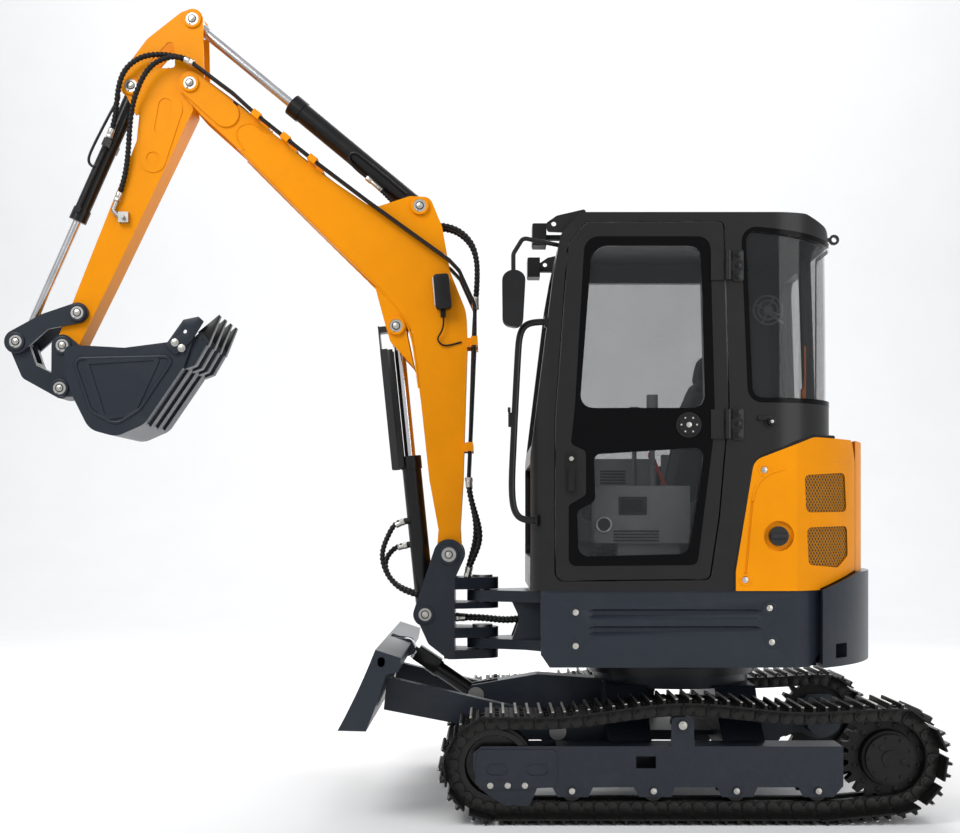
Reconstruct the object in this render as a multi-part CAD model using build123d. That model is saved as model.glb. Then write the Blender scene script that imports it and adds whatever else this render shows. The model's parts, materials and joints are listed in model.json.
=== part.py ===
from build123d import *
import math
import os

# A small tracked digger with a closed cab, a swing boom, a bucket and a dozer blade.
# It is parked with its bucket curled.
# Millimetres. +X forwards, +Y to the machine's left, +Z up, origin on the ground under the slew axis.

# clearances
FIT = 0.3
PLAY = 5.0
SEAM = 3.0

# tracks
TRACK_CENTRE_Y = 630.0
SHOE_WIDTH = 300.0
SHOE_PITCH = 101.6
SHOE_THICK = 8.0
GROUSER_HEIGHT = 20.0
GROUSER_WIDTH = 9.0
GROUSER_SPACING = 50.0
LINK_HEIGHT = 56.0
RAIL_INNER = 38.0
RAIL_OUTER = 66.0
IDLER_X = 815.0
IDLER_PITCH_R = 176.0
SPROCKET_X = -815.0
SPROCKET_Z = 262.0
SPROCKET_PITCH_R = 180.0
SPROCKET_TEETH = 22
LAST_FLAT_X = -560.0
CARRIER_X = 40.0
CARRIER_RISE = 464.0
CARRIER_R = 36.0
ROLLER_XS = (497.0, 160.0, -182.0, -520.0)
ROLLER_R = 45.0
FRAME_GAP = 68.0
FRAME_PLATE = 10.0
FRAME_TOP_Z = 313.0
FRAME_BOTTOM_Z = 119.0
FRAME_FRONT_X = 905.0
FRAME_REAR_X = -623.0

# car body and slew ring
CAR_TOP_Z = 560.0
CAR_HALF_LENGTH = 330.0
SLEW_R = 350.0
SLEW_BORE_R = 250.0
SLEW_JOINT_Z = 600.0
UPPER_BOTTOM_Z = 640.0

# dozer blade
BLADE_HALF_WIDTH = 800.0
BLADE_PLATE = 12.0
BLADE_PIVOT = (540.0, 325.0)
BLADE_ARM_Y = 330.0
BLADE_ARM_WIDTH = 60.0
BLADE_CYL_BASE = (900.0, 444.0)
BLADE_CYL_EYE = (1222.0, 660.0)
BLADE_BARREL_R = 34.0
BLADE_ROD_R = 22.0
BLADE_BARREL_LENGTH = 262.0

# upper body
SIDE_Y = 740.0
TAIL_R = 853.0
WEIGHT_R = TAIL_R + 32.0
WEIGHT_FRONT_X = 313.0 - TAIL_R
WEIGHT_TOP_Z = 1025.0
WEIGHT_BOTTOM_Z = 635.0
DECK_TOP_Z = 690.0
SKIRT_TOP_Z = 956.0
SKIRT_FRONT_X = 626.0
SKIRT_THICK = 30.0
PANEL_THICK = 25.0
HOOD_TOP_Z = 1590.0
PANEL_REAR_X = 103.0 - TAIL_R
HOOD_FRONT_X = 198.0 - TAIL_R
PANEL_FRONT_X = -171.0
FILLER_Z = 1181.0

# cab
CAB_RIGHT_Y = -260.0
CAB_WALL = 45.0
CAB_ROOF_Z = 2511.0
CAB_REAR_X = 238.0 - TAIL_R
CAB_CORNER_R = 280.0
ROOF_SEAM_Z = 2400.0
GLASS_INSET = 14.0
GLASS_THICK = 6.0
HINGE_X = -140.0
HINGE_Y = SIDE_Y + 16.0
DOOR_SEAM = 6.0
LIFT_HOLE = (572.0, 2468.0)
LIFT_HOLE_R = 10.0
LATCH = (20.0, 1637.0)

# swing post
SWING_X = 870.0
SWING_PIN_R = 35.0
POST_CHEEK_IN = 95.0
POST_CHEEK_OUT = 125.0

# boom, arm, bucket and their pins in the machine's side view
BOOM_FOOT = (1022.0, 1090.0)
BOOM_CYL_BASE = (1130.0, 818.0)
BOOM_CYL_EYE = (1263.0, 2132.0)
ARM_CYL_BASE = (1155.0, 2680.0)
ARM_PIVOT = (2203.0, 3239.0)
ARM_CYL_EYE = (2197.0, 3539.0)
BUCKET_CYL_BASE = (2477.0, 3233.0)
GUIDE_PIVOT = (2716.0, 2192.0)
LINK_PIN = (2997.0, 2061.0)
BUCKET_PIVOT = (2784.0, 2043.0)
BUCKET_LINK = (2796.0, 1848.0)
PIN_R = 28.0
BOOM_HALF = 90.0
ARM_HALF = 75.0
BOX_PLATE = 10.0
BUCKET_HALF = 250.0
BUCKET_PLATE = 11.0
EAR_IN = 80.0
EAR_OUT = 100.0

# cylinders
BOOM_BARREL_R = 44.0
BOOM_ROD_R = 25.0
BOOM_BARREL_LENGTH = 728.0
GUARD_FOOT = 672.0
ARM_BARREL_R = 46.0
ARM_ROD_R = 22.0
ARM_BARREL_LENGTH = 771.0
BUCKET_BARREL_R = 36.0
BUCKET_ROD_R = 19.0
BUCKET_BARREL_LENGTH = 660.0
EYE_HALF = 34.0

# pipes and hoses
PIPE_R = 8.0
HOSE_R = 13.0
PIPE_YS = (104.0, 132.0)
REAR_PIPE_Y = 40.0
PIPE_TOP = (2180.0, 3318.0)
PIPE_FOOT = (932.6, 1440.0)
LOOP_END = (903.0, 2226.0)
PORT_AT = 262.0
PORT_Y = 66.0
VALVE_Y = 90.0
VALVE_PORT = (2540.0, 2700.0)
POST_TOP_Z = 985.0

CHAIN_MID = LINK_HEIGHT / 2
TIP = CHAIN_MID + SHOE_THICK + GROUSER_HEIGHT
IDLER_Z = IDLER_PITCH_R + TIP


def outline(points):
    """A face in the side view from corners (x, z) or (x, z, corner radius)."""
    count = len(points)
    starts = []
    ends = []
    middles = []
    for i in range(count):
        p = Vector(points[i][0], points[i][1])
        radius = points[i][2] if len(points[i]) > 2 else 0.0
        if radius == 0.0:
            starts.append(p)
            ends.append(p)
            middles.append(None)
            continue
        before = (Vector(points[i - 1][0], points[i - 1][1]) - p).normalized()
        after = (Vector(points[(i + 1) % count][0], points[(i + 1) % count][1]) - p).normalized()
        half = math.acos(max(-1.0, min(1.0, before.dot(after)))) / 2
        reach = radius / math.tan(half)
        toward = (before + after).normalized()
        starts.append(p + before * reach)
        ends.append(p + after * reach)
        middles.append(p + toward * (radius / math.sin(half) - radius))
    edges = []
    for i in range(count):
        if middles[i] is not None:
            edges.append(ThreePointArc(starts[i], middles[i], ends[i]))
        follow = starts[(i + 1) % count]
        if (follow - ends[i]).length > 0.01:
            edges.append(Line(ends[i], follow))
    return make_face(edges)


def disc(centre, radius):
    return Pos(centre[0], centre[1]) * Circle(radius)


def strap(first, first_r, second, second_r):
    """The hull of two discs, as a link plate has."""
    return make_hull((disc(first, first_r) + disc(second, second_r)).edges())


def slab(face, y_from, y_to):
    """A side view face given thickness across the machine."""
    return Pos(0, y_to, 0) * extrude(Plane.XZ * face, y_to - y_from)


def pair(face, y_in, y_out):
    """The same plate on both sides of the middle."""
    return slab(face, y_in, y_out) + slab(face, -y_out, -y_in)


def rod_y(centre, radius, y_from, y_to):
    """A round bar across the machine."""
    return Pos(centre[0], (y_from + y_to) / 2, centre[1]) * Rot(90, 0, 0) * Cylinder(radius, y_to - y_from)


def block(x_from, x_to, y_from, y_to, z_from, z_to):
    middle = Pos((x_from + x_to) / 2, (y_from + y_to) / 2, (z_from + z_to) / 2)
    return middle * Box(x_to - x_from, y_to - y_from, z_to - z_from)


def upright(centre_x, centre_y, radius, z_from, z_to):
    return Pos(centre_x, centre_y, (z_from + z_to) / 2) * Cylinder(radius, z_to - z_from)


def plan(face, z_from, z_to):
    """A plan face given height."""
    return Pos(0, 0, z_from) * extrude(face, z_to - z_from)


def headed_pin(centre, y_out, radius=PIN_R):
    """A pin across the machine with a cap at both ends."""
    pin = rod_y(centre, radius, -y_out, y_out)
    pin += rod_y(centre, radius + 9, y_out, y_out + 8)
    return pin + rod_y(centre, radius + 9, -y_out - 8, -y_out)


def stub_pins(centre, y_in, y_out, radius=PIN_R):
    """Two pin ends that sit in the lug plates and leave the space between them free."""
    stubs = rod_y(centre, radius, y_in, y_out) + rod_y(centre, radius + 9, y_out, y_out + 8)
    return stubs + mirror(stubs, Plane.XZ)


def along(base, eye):
    """The place of a cylinder: its local +Z runs from base to eye in the side view."""
    angle = math.degrees(math.atan2(eye[0] - base[0], eye[1] - base[1]))
    return Pos(base[0], 0, base[1]) * Rot(0, angle, 0)


def barrel(base, eye, radius, rod_r, length, eye_half):
    """The barrel of a cylinder with its base eye and its head."""
    tube = Pos(0, 0, (radius + 6 + length) / 2) * Cylinder(radius, length - radius - 6)
    tube -= Pos(0, 0, (radius + 20 + length) / 2) * Cylinder(radius - 8, length - radius - 20 + 1)
    tube += Pos(0, 0, length - 30) * (Cylinder(radius + 5, 60) - Cylinder(rod_r + FIT, 60))
    tube += Pos(0, 0, (radius + 14) / 2) * Box(radius * 1.5, eye_half * 1.4, radius + 14)
    tube += Rot(90, 0, 0) * Cylinder(radius + 4, 2 * eye_half)
    tube -= Rot(90, 0, 0) * Cylinder(PIN_R + FIT, 2 * eye_half)
    return along(base, eye) * tube


def piston_rod(base, eye, rod_r, from_base, eye_half, eye_r):
    """A chrome rod with its eye: from_base is where the rod's inner end lies."""
    total = math.hypot(eye[0] - base[0], eye[1] - base[1])
    bar = Pos(0, 0, (from_base + total) / 2) * Cylinder(rod_r, total - from_base)
    bar += Pos(0, 0, total - eye_r - 14) * Cylinder(rod_r + 7, 34)
    bar += Pos(0, 0, total) * Rot(90, 0, 0) * Cylinder(eye_r, 2 * eye_half)
    bar -= Pos(0, 0, total) * Rot(90, 0, 0) * Cylinder(PIN_R + FIT, 2 * eye_half)
    return along(base, eye) * bar


def tube(points, bend, radius):
    """A round pipe or hose along straight runs with rounded bends; points are (x, y, z)."""
    route = FilletPolyline(*points, radius=bend)
    return sweep(Plane(route @ 0, z_dir=route % 0) * Circle(radius), route)


def ring_of(face, width):
    """A frame of a given width just inside a face."""
    return face - offset(face, -width)


def track_path(offset):
    """The closed line of the track, offset outwards from the middle of its links."""
    idler_r = IDLER_PITCH_R + offset
    sprocket_r = SPROCKET_PITCH_R + offset
    low = TIP - offset
    rise = math.hypot(SPROCKET_X - LAST_FLAT_X, SPROCKET_Z - TIP)
    heading = math.atan2(SPROCKET_Z - TIP, SPROCKET_X - LAST_FLAT_X) + math.asin(SPROCKET_PITCH_R / rise)
    side = Vector(math.sin(heading), -math.cos(heading)) * -1
    if side.Y > 0:
        side = side * -1
    touch = Vector(SPROCKET_X, SPROCKET_Z) + side * sprocket_r
    corner = Vector(LAST_FLAT_X - offset * math.tan((math.pi - heading) / 2), low)
    crest = [(SPROCKET_X, SPROCKET_Z + sprocket_r)]
    crest += [(-440, 428 + offset), (CARRIER_X, CARRIER_RISE + offset), (520, 412 + offset)]
    crest += [(IDLER_X, IDLER_Z + idler_r)]
    bottom = Line((IDLER_X, low), corner)
    ramp = Line(corner, touch)
    rear = ThreePointArc(touch, (SPROCKET_X - sprocket_r, SPROCKET_Z), crest[0])
    top = Spline(*crest, tangents=[(1, 0), (1, 0)])
    front = ThreePointArc(crest[-1], (IDLER_X + idler_r, IDLER_Z), (IDLER_X, low))
    return [bottom, ramp, rear, top, front]


def shoe_profile(width):
    """One track shoe from the side, standing on the link line, with two grousers."""
    base = CHAIN_MID
    top = CHAIN_MID + SHOE_THICK
    half = width / 2
    points = [(-half, base), (half, base), (half, top)]
    for middle in (GROUSER_SPACING / 2, -GROUSER_SPACING / 2):
        foot = GROUSER_WIDTH / 2 + 2
        tip = GROUSER_WIDTH / 2
        points += [(middle + foot, top), (middle + tip, top + GROUSER_HEIGHT)]
        points += [(middle - tip, top + GROUSER_HEIGHT), (middle - foot, top)]
    points += [(-half, top)]
    return make_face(Polyline(*points, close=True))


def make_track():
    """One steel track about Y = 0: two link rails in one loop with all shoes fused on."""
    path = Wire(track_path(0))
    count = round(path.length / SHOE_PITCH)
    shoes = []
    for i in range(count):
        where = path.position_at((i + 0.5) / count)
        ahead = path.tangent_at((i + 0.5) / count)
        turn = math.degrees(math.atan2(ahead.Y, ahead.X))
        profile = shoe_profile(path.length / count - 3)
        shoes.append(slab(Pos(where.X, where.Y) * Rot(0, 0, turn) * profile, -SHOE_WIDTH / 2,
                          SHOE_WIDTH / 2))
    band = make_face(track_path(CHAIN_MID + 2)) - make_face(track_path(-CHAIN_MID))
    rails = [slab(band, RAIL_INNER, RAIL_OUTER), slab(band, -RAIL_OUTER, -RAIL_INNER)]
    return rails[0].fuse(rails[1], *shoes)


def turned(points):
    """A solid of revolution about the Y axis from (radius, y) points."""
    return revolve(make_face(Polyline(*[(r, y, 0) for r, y in points], close=True)), Axis.Y)


def make_idler():
    tread = IDLER_PITCH_R - CHAIN_MID - FIT
    half = [(0, 0), (tread + 18, 0), (tread + 18, 22), (tread + 12, 32), (tread, 34)]
    half += [(tread, RAIL_OUTER), (tread - 22, RAIL_OUTER), (tread - 30, 24), (72, 24), (60, FRAME_GAP),
             (0, FRAME_GAP)]
    wheel = turned(half)
    wheel += mirror(wheel, Plane.XZ)
    return Pos(IDLER_X, 0, IDLER_Z) * wheel


def make_sprocket():
    points = []
    for i in range(SPROCKET_TEETH):
        for share, radius in ((-0.34, 160), (-0.16, 192), (0.16, 192), (0.34, 160)):
            angle = 2 * math.pi * (i + share) / SPROCKET_TEETH
            points.append((radius * math.cos(angle), radius * math.sin(angle)))
    wheel = slab(make_face(Polyline(*points, close=True)), -24, 24)
    wheel -= rod_y((0, 0), 118, 10, 25)
    wheel += rod_y((0, 0), 112, 10, 62)
    wheel += rod_y((0, 0), 100, 62, 84)
    wheel += rod_y((0, 0), 34, 84, 90)
    return Pos(SPROCKET_X, 0, SPROCKET_Z) * wheel


def make_roller(x):
    axis_z = TIP + CHAIN_MID + ROLLER_R + FIT
    half = [(0, 0), (ROLLER_R + 12, 0), (ROLLER_R + 12, 26), (ROLLER_R, 34), (ROLLER_R, 60), (24, 60)]
    half += [(24, FRAME_GAP), (0, FRAME_GAP)]
    wheel = turned(half)
    wheel += mirror(wheel, Plane.XZ)
    return Pos(x, 0, axis_z) * wheel


def make_carrier():
    axis_z = CARRIER_RISE - CHAIN_MID - CARRIER_R - FIT
    wheel = rod_y((CARRIER_X, axis_z), CARRIER_R, -58, 66)
    wheel += rod_y((CARRIER_X, axis_z), 16, 66, FRAME_GAP)
    return wheel


def make_track_frame():
    """A channel about Y = 0 that holds the rollers, the idler and the drive."""
    side = [(FRAME_FRONT_X, 220, 0), (FRAME_FRONT_X, 285, 0), (870, FRAME_TOP_Z),
            (FRAME_REAR_X, FRAME_TOP_Z)]
    side += [(FRAME_REAR_X, FRAME_BOTTOM_Z + 30), (FRAME_REAR_X + 40, FRAME_BOTTOM_Z - 15)]
    for x in reversed(ROLLER_XS):
        side += [(x + 60, FRAME_BOTTOM_Z - 15), (x + 80, FRAME_BOTTOM_Z + 25)]
        side += [(x + 250, FRAME_BOTTOM_Z + 25), (x + 270, FRAME_BOTTOM_Z - 15)]
    side = side[:-2]
    side += [(640, FRAME_BOTTOM_Z + 25), (655, FRAME_BOTTOM_Z - 15), (675, 67), (775, 67), (880, 140)]
    plate = outline(side)
    frame = pair(plate, FRAME_GAP, FRAME_GAP + FRAME_PLATE)
    frame += block(FRAME_REAR_X, 560, -FRAME_GAP, FRAME_GAP, FRAME_TOP_Z - FRAME_PLATE, FRAME_TOP_Z)
    frame += block(FRAME_REAR_X, FRAME_REAR_X + 14, -FRAME_GAP, FRAME_GAP, FRAME_BOTTOM_Z + 30, FRAME_TOP_Z)
    axis_z = CARRIER_RISE - CHAIN_MID - CARRIER_R - FIT
    bracket = outline([(-10, FRAME_TOP_Z - 20), (-4, axis_z + 34, 20), (84, axis_z + 34, 20),
                       (90, FRAME_TOP_Z - 20)])
    frame += slab(bracket, FRAME_GAP, FRAME_GAP + FRAME_PLATE)
    cover = outline([(560, 145), (560, 300, 20), (886, 300, 20), (897, 160, 20), (860, 132)])
    for x in (806, 641):
        cover -= Pos(x, 219) * SlotOverall(92, 50)
    frame += slab(cover, FRAME_GAP + FRAME_PLATE, FRAME_GAP + FRAME_PLATE + 6)
    frame -= block(150, 232, FRAME_GAP, FRAME_GAP + FRAME_PLATE, 222, 272)
    for x in ROLLER_XS:
        frame += rod_y((x, TIP + CHAIN_MID + ROLLER_R), 17, FRAME_GAP + FRAME_PLATE,
                       FRAME_GAP + FRAME_PLATE + 9)
    frame += rod_y((CARRIER_X, axis_z), 22, FRAME_GAP + FRAME_PLATE, FRAME_GAP + FRAME_PLATE + 9)
    drive = outline([(FRAME_REAR_X + 14, 150), (FRAME_REAR_X + 14, 300), (-690, 300), (-690, 180)])
    return frame + slab(drive, -FRAME_GAP - FRAME_PLATE, -FRAME_GAP)


def make_travel_motor():
    """The drive's motor on the inner side of a track frame, about Y = 0 with the outer side at +Y."""
    motor = rod_y((SPROCKET_X, SPROCKET_Z), 112, -78, -24 - FIT)
    motor += rod_y((SPROCKET_X, SPROCKET_Z), 86, -190, -78)
    flange = outline([(-690, 180), (-690, 300), (-760, 372, 30), (-880, 372, 30), (-925, 300),
                      (-925, 180, 40)])
    return motor + slab(flange, -FRAME_GAP - FRAME_PLATE, -FRAME_GAP)


def make_car_body():
    inner = TRACK_CENTRE_Y - FRAME_GAP - FRAME_PLATE
    half = [(0, 300), (280, 262), (inner, 180), (inner, FRAME_TOP_Z), (430, 400), (330, 520), (0, 520)]
    points = half + [(-y, z) for y, z in reversed(half) if y > 0]
    leg = Plane.YZ * make_face(Polyline(*points, close=True))
    body = Pos(150, 0, 0) * extrude(leg, CAR_HALF_LENGTH - 150)
    body += Pos(-CAR_HALF_LENGTH, 0, 0) * extrude(leg, CAR_HALF_LENGTH - 150)
    body -= block(164, CAR_HALF_LENGTH - 14, -320, 320, 312, 506)
    body -= block(-CAR_HALF_LENGTH + 14, -164, -320, 320, 312, 506)
    body += upright(0, 0, SLEW_R, 505, CAR_TOP_Z) - upright(0, 0, SLEW_BORE_R, 505, CAR_TOP_Z)
    body += block(-150, 150, -300, 300, 300, 320)
    cheek = outline([(CAR_HALF_LENGTH - 20, 262), (540, 272), (592, 325, 40), (540, 385),
                     (CAR_HALF_LENGTH - 20, 420)])
    for y in (BLADE_ARM_Y, -BLADE_ARM_Y):
        for side in (1, -1):
            face = y + side * (BLADE_ARM_WIDTH / 2 + PLAY)
            far = face + side * 18
            body += slab(cheek, min(face, far), max(face, far))
    nose = [(CAR_HALF_LENGTH - 20, 330), (CAR_HALF_LENGTH - 20, 520), (620, 540), (930, 488, 30)]
    nose += [(945, 425, 40), (860, 396, 60)]
    nose = outline(nose) - disc(BLADE_CYL_BASE, PIN_R)
    body += pair(nose, EYE_HALF + PLAY + 5, EYE_HALF + PLAY + 21)
    lid = outline([(CAR_HALF_LENGTH - 20, 506), (CAR_HALF_LENGTH - 20, 520), (620, 540), (800, 510),
                   (800, 498), (620, 526)])
    body += slab(lid, -EYE_HALF - PLAY - 5, EYE_HALF + PLAY + 5)
    for y in (BLADE_ARM_Y, -BLADE_ARM_Y):
        body -= rod_y(BLADE_PIVOT, PIN_R, y - 60, y + 60)
    return body


def blade_section():
    front = ThreePointArc((1454, 391), (1388, 520), (1301, 720))
    rest = Polyline((1301, 720), (1196, 686), (1208, 630), (1258, 618), (1298, 493), (1339, 388),
                    (1454, 391))
    return make_face([front, *rest.edges()])


def make_blade():
    section = blade_section()
    blade = slab(section, -BLADE_HALF_WIDTH, BLADE_HALF_WIDTH)
    hollow = offset(section, -BLADE_PLATE)
    blade -= slab(hollow, -BLADE_HALF_WIDTH + BLADE_PLATE, BLADE_HALF_WIDTH - BLADE_PLATE)
    notch = EYE_HALF + PLAY + 5
    blade -= block(1150, 1290, -notch - 30, notch + 30, 590, 730)
    lug = outline([(1170, 640, 20), (1196, 700, 20), (1290, 712), (1296, 600), (1262, 600)])
    blade += pair(lug, notch, notch + 16)
    blade -= rod_y(BLADE_CYL_EYE, PIN_R, -notch - 16, notch + 16)
    px, pz = BLADE_PIVOT
    arm = outline([(px - 46, pz - 46, 44), (px + 40, pz - 46, 0), (1300, 418), (1285, 560),
                   (px, pz + 62, 40), (px - 46, pz + 40, 40)])
    for y in (BLADE_ARM_Y, -BLADE_ARM_Y):
        beam = slab(arm, y - BLADE_ARM_WIDTH / 2, y + BLADE_ARM_WIDTH / 2)
        beam -= slab(offset(arm, -60), y - BLADE_ARM_WIDTH / 2 + 10, y + BLADE_ARM_WIDTH / 2 - 10)
        blade += beam - rod_y(BLADE_PIVOT, PIN_R + FIT, y - 40, y + 40)
    slot = outline([(1262, 650, 14), (1262, 690, 14), (1292, 690, 14), (1292, 650, 14)])
    blade -= slab(slot, BLADE_HALF_WIDTH - BLADE_PLATE, BLADE_HALF_WIDTH)
    blade -= slab(slot, -BLADE_HALF_WIDTH, -BLADE_HALF_WIDTH + BLADE_PLATE)
    return blade


def make_blade_pins():
    pins = []
    reach = BLADE_ARM_WIDTH / 2 + PLAY + 18
    for y in (BLADE_ARM_Y, -BLADE_ARM_Y):
        pins.append(Pos(0, y, 0) * headed_pin(BLADE_PIVOT, reach))
    pins.append(headed_pin(BLADE_CYL_BASE, EYE_HALF + PLAY + 21))
    return pins


def upper_plan(inset, front_x):
    """The upper body from above: straight sides that run into the round tail."""
    side = SIDE_Y - inset
    tail = TAIL_R - inset
    box = Pos((front_x - 1000) / 2, 0) * Rectangle(front_x + 1000, 2 * side)
    return box & make_hull((Circle(tail) + Pos(500, 0) * Rectangle(1600, 2 * side)).edges())


def make_upper_frame():
    deck = plan(upper_plan(SKIRT_THICK, SKIRT_FRONT_X - 40), UPPER_BOTTOM_Z, DECK_TOP_Z)
    deck -= block(-1000, WEIGHT_FRONT_X - 120, -1000, 1000, 600, 700)
    deck -= block(-1000, WEIGHT_FRONT_X + 10, 530, 1000, 600, 700)
    deck -= block(-1000, WEIGHT_FRONT_X + 10, -1000, -530, 600, 700)
    deck -= upright(0, 0, 150, UPPER_BOTTOM_Z, DECK_TOP_Z)
    foot = make_hull((disc((SWING_X, 0), 71) + Pos(500, 0) * Rectangle(60, 440)).edges())
    for low, high in ((660, 705), (875, 926)):
        deck += plan(foot, low, high)
    web = outline([(470, DECK_TOP_Z - 10), (470, 926), (700, 926), (735, 875), (700, 800, 60), (735, 705),
                   (700, 660), (600, 650)])
    deck += pair(web, 100, 130)
    deck += block(470, 500, -220, 220, DECK_TOP_Z - 10, 926)
    deck -= upright(SWING_X, 0, SWING_PIN_R + FIT, 650, 940)
    deck += block(-CAR_HALF_LENGTH, 470, -235, -215, DECK_TOP_Z, 926)
    deck += block(-CAR_HALF_LENGTH, 470, 215, 235, DECK_TOP_Z, 926)
    return deck


def make_skirt():
    """The left side skirt with its two long ribs; the right one is its mirror image."""
    face = [(SKIRT_FRONT_X, UPPER_BOTTOM_Z + 53), (SKIRT_FRONT_X, SKIRT_TOP_Z),
            (WEIGHT_FRONT_X + SEAM, SKIRT_TOP_Z)]
    face += [(WEIGHT_FRONT_X + SEAM, UPPER_BOTTOM_Z + 53), (-490, UPPER_BOTTOM_Z), (590, UPPER_BOTTOM_Z)]
    sheet = upper_plan(8, SKIRT_FRONT_X) - upper_plan(SKIRT_THICK - FIT, SKIRT_FRONT_X)
    skirt = plan(sheet, 600, 1000) & slab(outline(face), 300, 900)
    for z in (790, 860):
        rib = outline([(420, z - 9), (420, z + 9), (-270, z + 9), (-270, z - 9)])
        skirt += slab(rib, SIDE_Y - 8, SIDE_Y)
    return skirt


def make_counterweight():
    ring = Circle(WEIGHT_R) & (Pos(WEIGHT_FRONT_X - 500, 0) * Rectangle(1000, 2 * SIDE_Y + 10))
    ring -= Pos(WEIGHT_FRONT_X, 0) * Rectangle(240, 1080)
    weight = plan(ring, WEIGHT_BOTTOM_Z, WEIGHT_TOP_Z)
    slope = outline([(WEIGHT_FRONT_X, SKIRT_TOP_Z), (PANEL_REAR_X, WEIGHT_TOP_Z),
                     (WEIGHT_FRONT_X, WEIGHT_TOP_Z)])
    weight -= slab(slope, -1000, 1000)
    for side in (1, -1):
        weight -= Pos(WEIGHT_FRONT_X - 105, side * 615, 700) * Rot(0, 0, side * -42) * Box(120, 90, 60)
        weight -= Pos(WEIGHT_FRONT_X - 18, side * SIDE_Y, 830) * Box(16, 40, 300)
    return weight


def shell_band(z_from, z_to):
    """The sheet metal skin of the upper body as one band, to be cut into panels."""
    skin = upper_plan(0, SKIRT_FRONT_X) - upper_plan(PANEL_THICK, SKIRT_FRONT_X - PANEL_THICK)
    return plan(skin, z_from, z_to)


def panel_face():
    front = PANEL_FRONT_X - SEAM
    points = [(front, SKIRT_TOP_Z), (front, 1037), (front - 75, HOOD_TOP_Z - 98, 60)]
    points += [(HOOD_FRONT_X + 150, HOOD_TOP_Z, 90), (PANEL_REAR_X + 27, HOOD_TOP_Z, 16)]
    points += [(PANEL_REAR_X + SEAM, HOOD_TOP_Z - 90), (PANEL_REAR_X + SEAM, WEIGHT_TOP_Z + 2 * SEAM)]
    points += [(WEIGHT_FRONT_X + SEAM, SKIRT_TOP_Z + 2 * SEAM), (WEIGHT_FRONT_X + SEAM, SKIRT_TOP_Z)]
    return outline(points)


def panel_x(share):
    """A place along the left panel, from 0 at its front edge to 1 at its rear edge."""
    return PANEL_FRONT_X + share * (PANEL_REAR_X - PANEL_FRONT_X)


def grille_faces():
    upper = [(panel_x(0.5), 1432, 22), (panel_x(0.87), 1448, 22), (panel_x(0.89), 1282, 22),
             (panel_x(0.515), 1278, 22)]
    lower = [(panel_x(0.52), 1216, 22), (panel_x(0.895), 1222, 22), (panel_x(0.905), 1096, 22)]
    lower += [(panel_x(0.8), 1046, 22), (panel_x(0.535), 1062, 22)]
    return outline(upper), outline(lower)


def make_left_panel():
    """The engine panel on the left, with two grille openings and a sunk filler."""
    panel = shell_band(900, 1700) & slab(panel_face(), 300, 900)
    for face in grille_faces():
        panel -= slab(face, 300, 900)
    panel -= rod_y((panel_x(0.31), FILLER_Z), 62, SIDE_Y - 16, SIDE_Y + 10)
    fold = outline([(-205, 990), (-236, 1330), (-247, 1330), (-216, 990)])
    return panel - slab(fold, SIDE_Y - 5, SIDE_Y + 10)


def make_grilles():
    skin = upper_plan(9, SKIRT_FRONT_X) - upper_plan(12, SKIRT_FRONT_X - 12)
    sheets = []
    for face in grille_faces():
        sheets.append(plan(skin, 900, 1700) & slab(face, 300, 900))
    return sheets


def make_filler_cap():
    x = panel_x(0.31)
    cap = rod_y((x, FILLER_Z), 40, SIDE_Y - 16, SIDE_Y + 4)
    return cap + block(x - 34, x + 34, SIDE_Y + 4, SIDE_Y + 16, FILLER_Z - 9, FILLER_Z + 9)


def make_hood():
    """The rear hood over the engine, standing on the counterweight."""
    face = upper_plan(0, -300)
    inner = upper_plan(PANEL_THICK, -300)
    rear = Pos(PANEL_REAR_X - 500, 0) * Rectangle(1000, 2000)
    skin = plan((face - inner) & rear, WEIGHT_TOP_Z, HOOD_TOP_Z)
    lid_front = HOOD_FRONT_X + 35
    ahead = Pos((PANEL_REAR_X + lid_front) / 2, 0) * Rectangle(lid_front - PANEL_REAR_X, 2000)
    lid = plan((inner & rear) + (upper_plan(PANEL_THICK + SEAM, -300) & ahead), HOOD_TOP_Z - 20, HOOD_TOP_Z)
    lid -= block(PANEL_REAR_X, lid_front + 100, -900, CAB_RIGHT_Y - 6, HOOD_TOP_Z - 90, HOOD_TOP_Z + 90)
    return skin + lid


def make_right_cover():
    """The tank and valve cover along the right side."""
    top = [(600, SKIRT_TOP_Z), (600, 1130, 70), (470, 1330, 150), (-250, 1420, 80),
           (HOOD_FRONT_X + 155, HOOD_TOP_Z, 80)]
    top += [(PANEL_REAR_X + SEAM, HOOD_TOP_Z), (PANEL_REAR_X + SEAM, WEIGHT_TOP_Z + 2 * SEAM)]
    top += [(WEIGHT_FRONT_X + SEAM, SKIRT_TOP_Z + 2 * SEAM), (WEIGHT_FRONT_X + SEAM, SKIRT_TOP_Z)]
    side = outline(top)
    width = CAB_RIGHT_Y - SEAM - 8
    cover = slab(side, -900, width) & plan(upper_plan(0, 600), 900, 1700)
    hollow = slab(offset(side, -PANEL_THICK), -900, width - PANEL_THICK)
    hollow &= plan(upper_plan(PANEL_THICK, 600 - PANEL_THICK), 900, 1700)
    hollow += block(HOOD_FRONT_X + 155, 560, SIDE_Y * -1 + PANEL_THICK, width - PANEL_THICK, 950, 1050)
    return cover - hollow


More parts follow.
